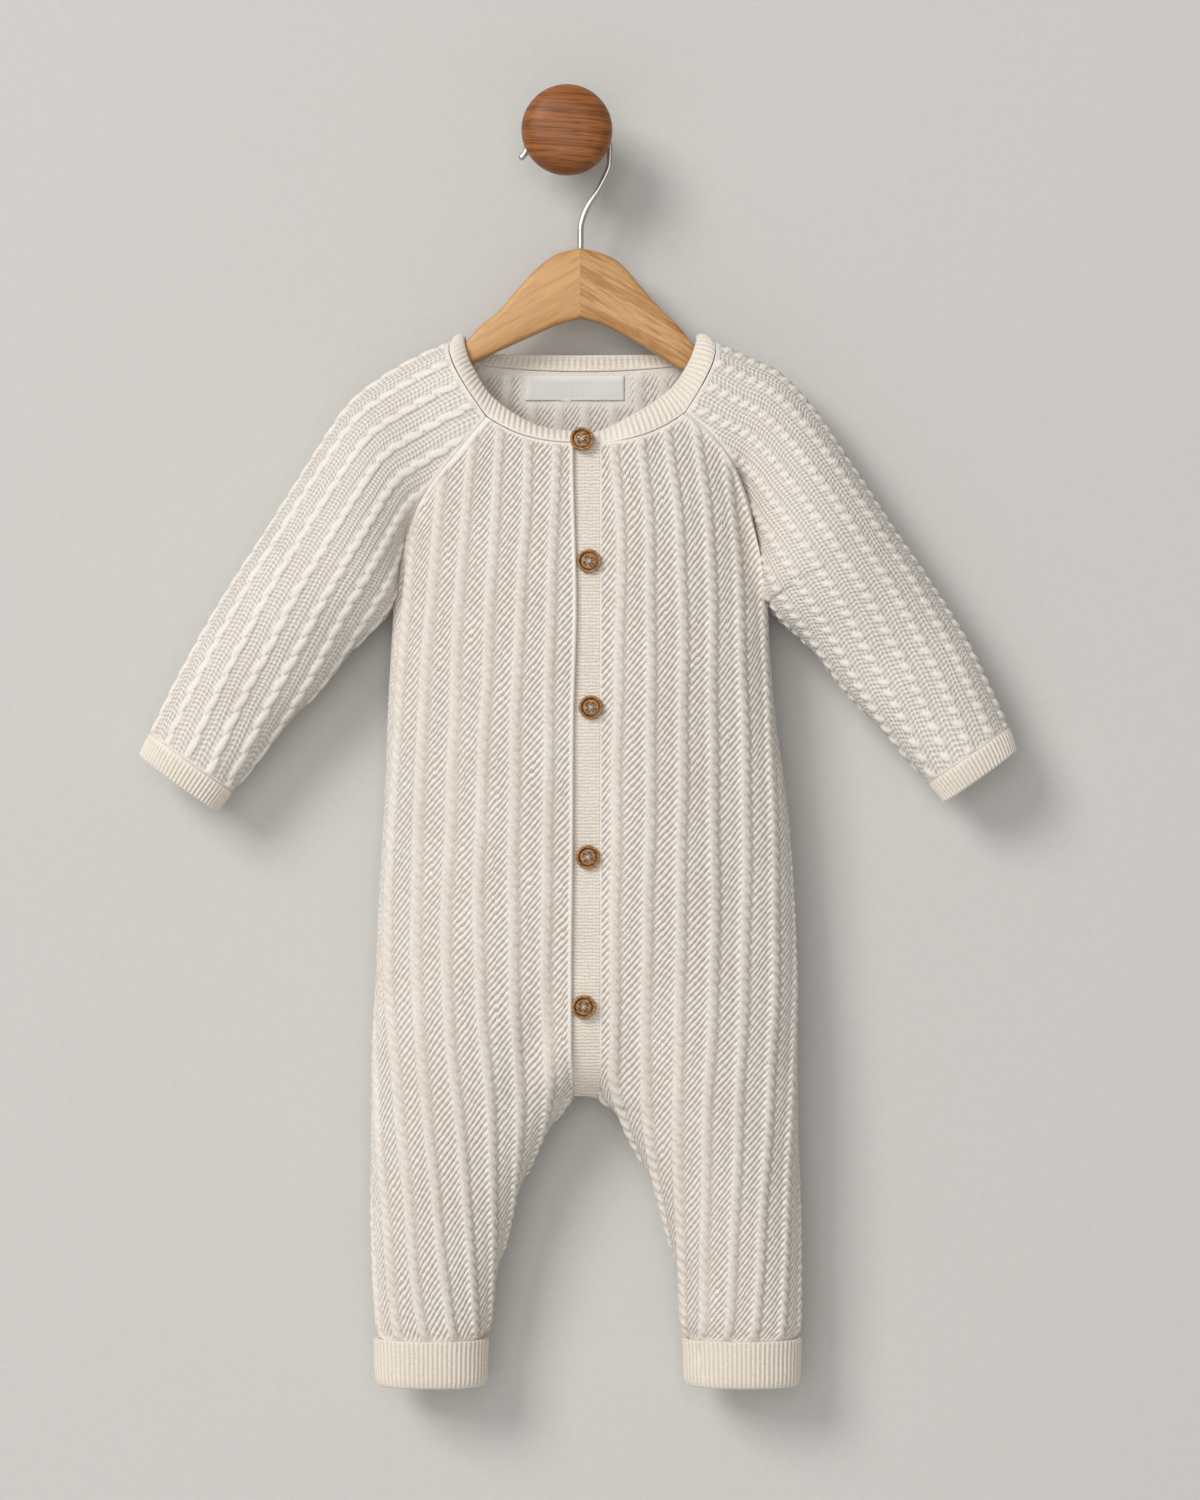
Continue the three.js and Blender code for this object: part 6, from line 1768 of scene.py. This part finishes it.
class ROMPER_OT_neckband(bpy.types.Operator):
    """Add the ribbed neckband and the blank label behind it"""

    bl_idname = "romper.neckband"
    bl_label = "Neckband and label"

    def execute(self, context):
        neckband_piece()
        label_piece()
        return {"FINISHED"}


class ROMPER_OT_cuffs(bpy.types.Operator):
    """Add the ribbed sleeve cuffs and the turned-up leg cuffs"""

    bl_idname = "romper.cuffs"
    bl_label = "Cuffs"

    def execute(self, context):
        for side in SIGN:
            sleeve_cuff_piece(side)
            leg_cuff_piece(side)
        return {"FINISHED"}


class ROMPER_OT_buttons(bpy.types.Operator):
    """Add the wooden buttons and their thread"""

    bl_idname = "romper.buttons"
    bl_label = "Buttons"

    def execute(self, context):
        buttons_pieces()
        return {"FINISHED"}


def area_light(name, place, target, size, energy, colour):
    light = bpy.data.lights.new(name, "AREA")
    light.shape, light.size, light.energy, light.color = "SQUARE", size, energy, colour
    obj = bpy.data.objects.new(name, light)
    obj.location = place
    obj.rotation_mode = "QUATERNION"
    obj.rotation_quaternion = (Vector(target) - Vector(place)).to_track_quat("-Z", "Y")
    bpy.context.scene.collection.objects.link(obj)


def flat_stage(name, corners, material):
    mesh = bpy.data.meshes.new(name)
    mesh.from_pydata(corners, [], [(0, 1, 2, 3)])
    obj = bpy.data.objects.new(name, mesh)
    mesh.materials.append(material)
    bpy.context.scene.collection.objects.link(obj)


class ROMPER_OT_stage(bpy.types.Operator):
    """Add the pale wall and floor, the soft lights and the camera"""

    bl_idname = "romper.stage"
    bl_label = "Stage"

    def execute(self, context):
        wall = material_of("wall")
        flat_stage("stage_wall", [(-3, 0.0006, -1.1), (3, 0.0006, -1.1), (3, 0.0006, 2.2), (-3, 0.0006, 2.2)], wall)
        flat_stage("stage_floor", [(-3, -3, -1.1), (3, -3, -1.1), (3, 0.0006, -1.1), (-3, 0.0006, -1.1)], wall)
        world = bpy.data.worlds.new("studio")
        context.scene.world = world
        world.use_nodes = True
        tree = world.node_tree
        tree.nodes["Background"].inputs[0].default_value = rgba(linear("E6E6E6"))
        tree.nodes["Background"].inputs[1].default_value = 0.3
        target = (0.01, -0.03, -0.3)
        area_light("key", (-3.5, -4.9, 2.9), target, 2.6, 256, (1.0, 0.985, 0.965))
        area_light("fill", (-0.4, -5.6, 0.2), target, 3.2, 88, (1.0, 0.99, 0.985))
        distance = 2.3
        camera = bpy.data.cameras.new("camera")
        camera.sensor_width = 36
        camera.lens = 18 * distance / 0.36
        obj = bpy.data.objects.new("camera", camera)
        obj.location = (0.0158, -0.03 - distance, -0.2962)
        obj.rotation_euler = (math.radians(90), 0, 0)
        context.scene.collection.objects.link(obj)
        context.scene.camera = obj
        context.scene.view_settings.view_transform = "Standard"
        return {"FINISHED"}


STEPS = ("knob", "hanger", "back", "fronts", "band", "sleeves", "neckband", "cuffs", "buttons", "stage")
OPERATORS = (
    ROMPER_OT_knob, ROMPER_OT_hanger, ROMPER_OT_back, ROMPER_OT_fronts, ROMPER_OT_band,
    ROMPER_OT_sleeves, ROMPER_OT_neckband, ROMPER_OT_cuffs, ROMPER_OT_buttons, ROMPER_OT_stage,
)


class ROMPER_PT_panel(bpy.types.Panel):
    """Lists the romper's pieces"""

    bl_idname = "ROMPER_PT_panel"
    bl_label = "Knitted Romper"
    bl_space_type = "VIEW_3D"
    bl_region_type = "UI"
    bl_category = "Romper"

    def draw(self, context):
        layout = self.layout
        for group in (context.scene.romper_yarn, context.scene.romper_cloth, context.scene.romper_wood):
            for name in group.__annotations__:
                layout.prop(group, name)
        for operator in OPERATORS:
            layout.operator(operator.bl_idname)


CLASSES = (RomperYarn, RomperCloth, RomperWood) + OPERATORS + (ROMPER_PT_panel,)


def register():
    for found in CLASSES:
        bpy.utils.register_class(found)
    bpy.types.Scene.romper_yarn = bpy.props.PointerProperty(type=RomperYarn)
    bpy.types.Scene.romper_cloth = bpy.props.PointerProperty(type=RomperCloth)
    bpy.types.Scene.romper_wood = bpy.props.PointerProperty(type=RomperWood)


def unregister():
    del bpy.types.Scene.romper_wood
    del bpy.types.Scene.romper_cloth
    del bpy.types.Scene.romper_yarn
    for found in reversed(CLASSES):
        bpy.utils.unregister_class(found)


def main():
    register()
    for step in STEPS:
        getattr(bpy.ops.romper, step)()


if __name__ == "__main__":
    main()
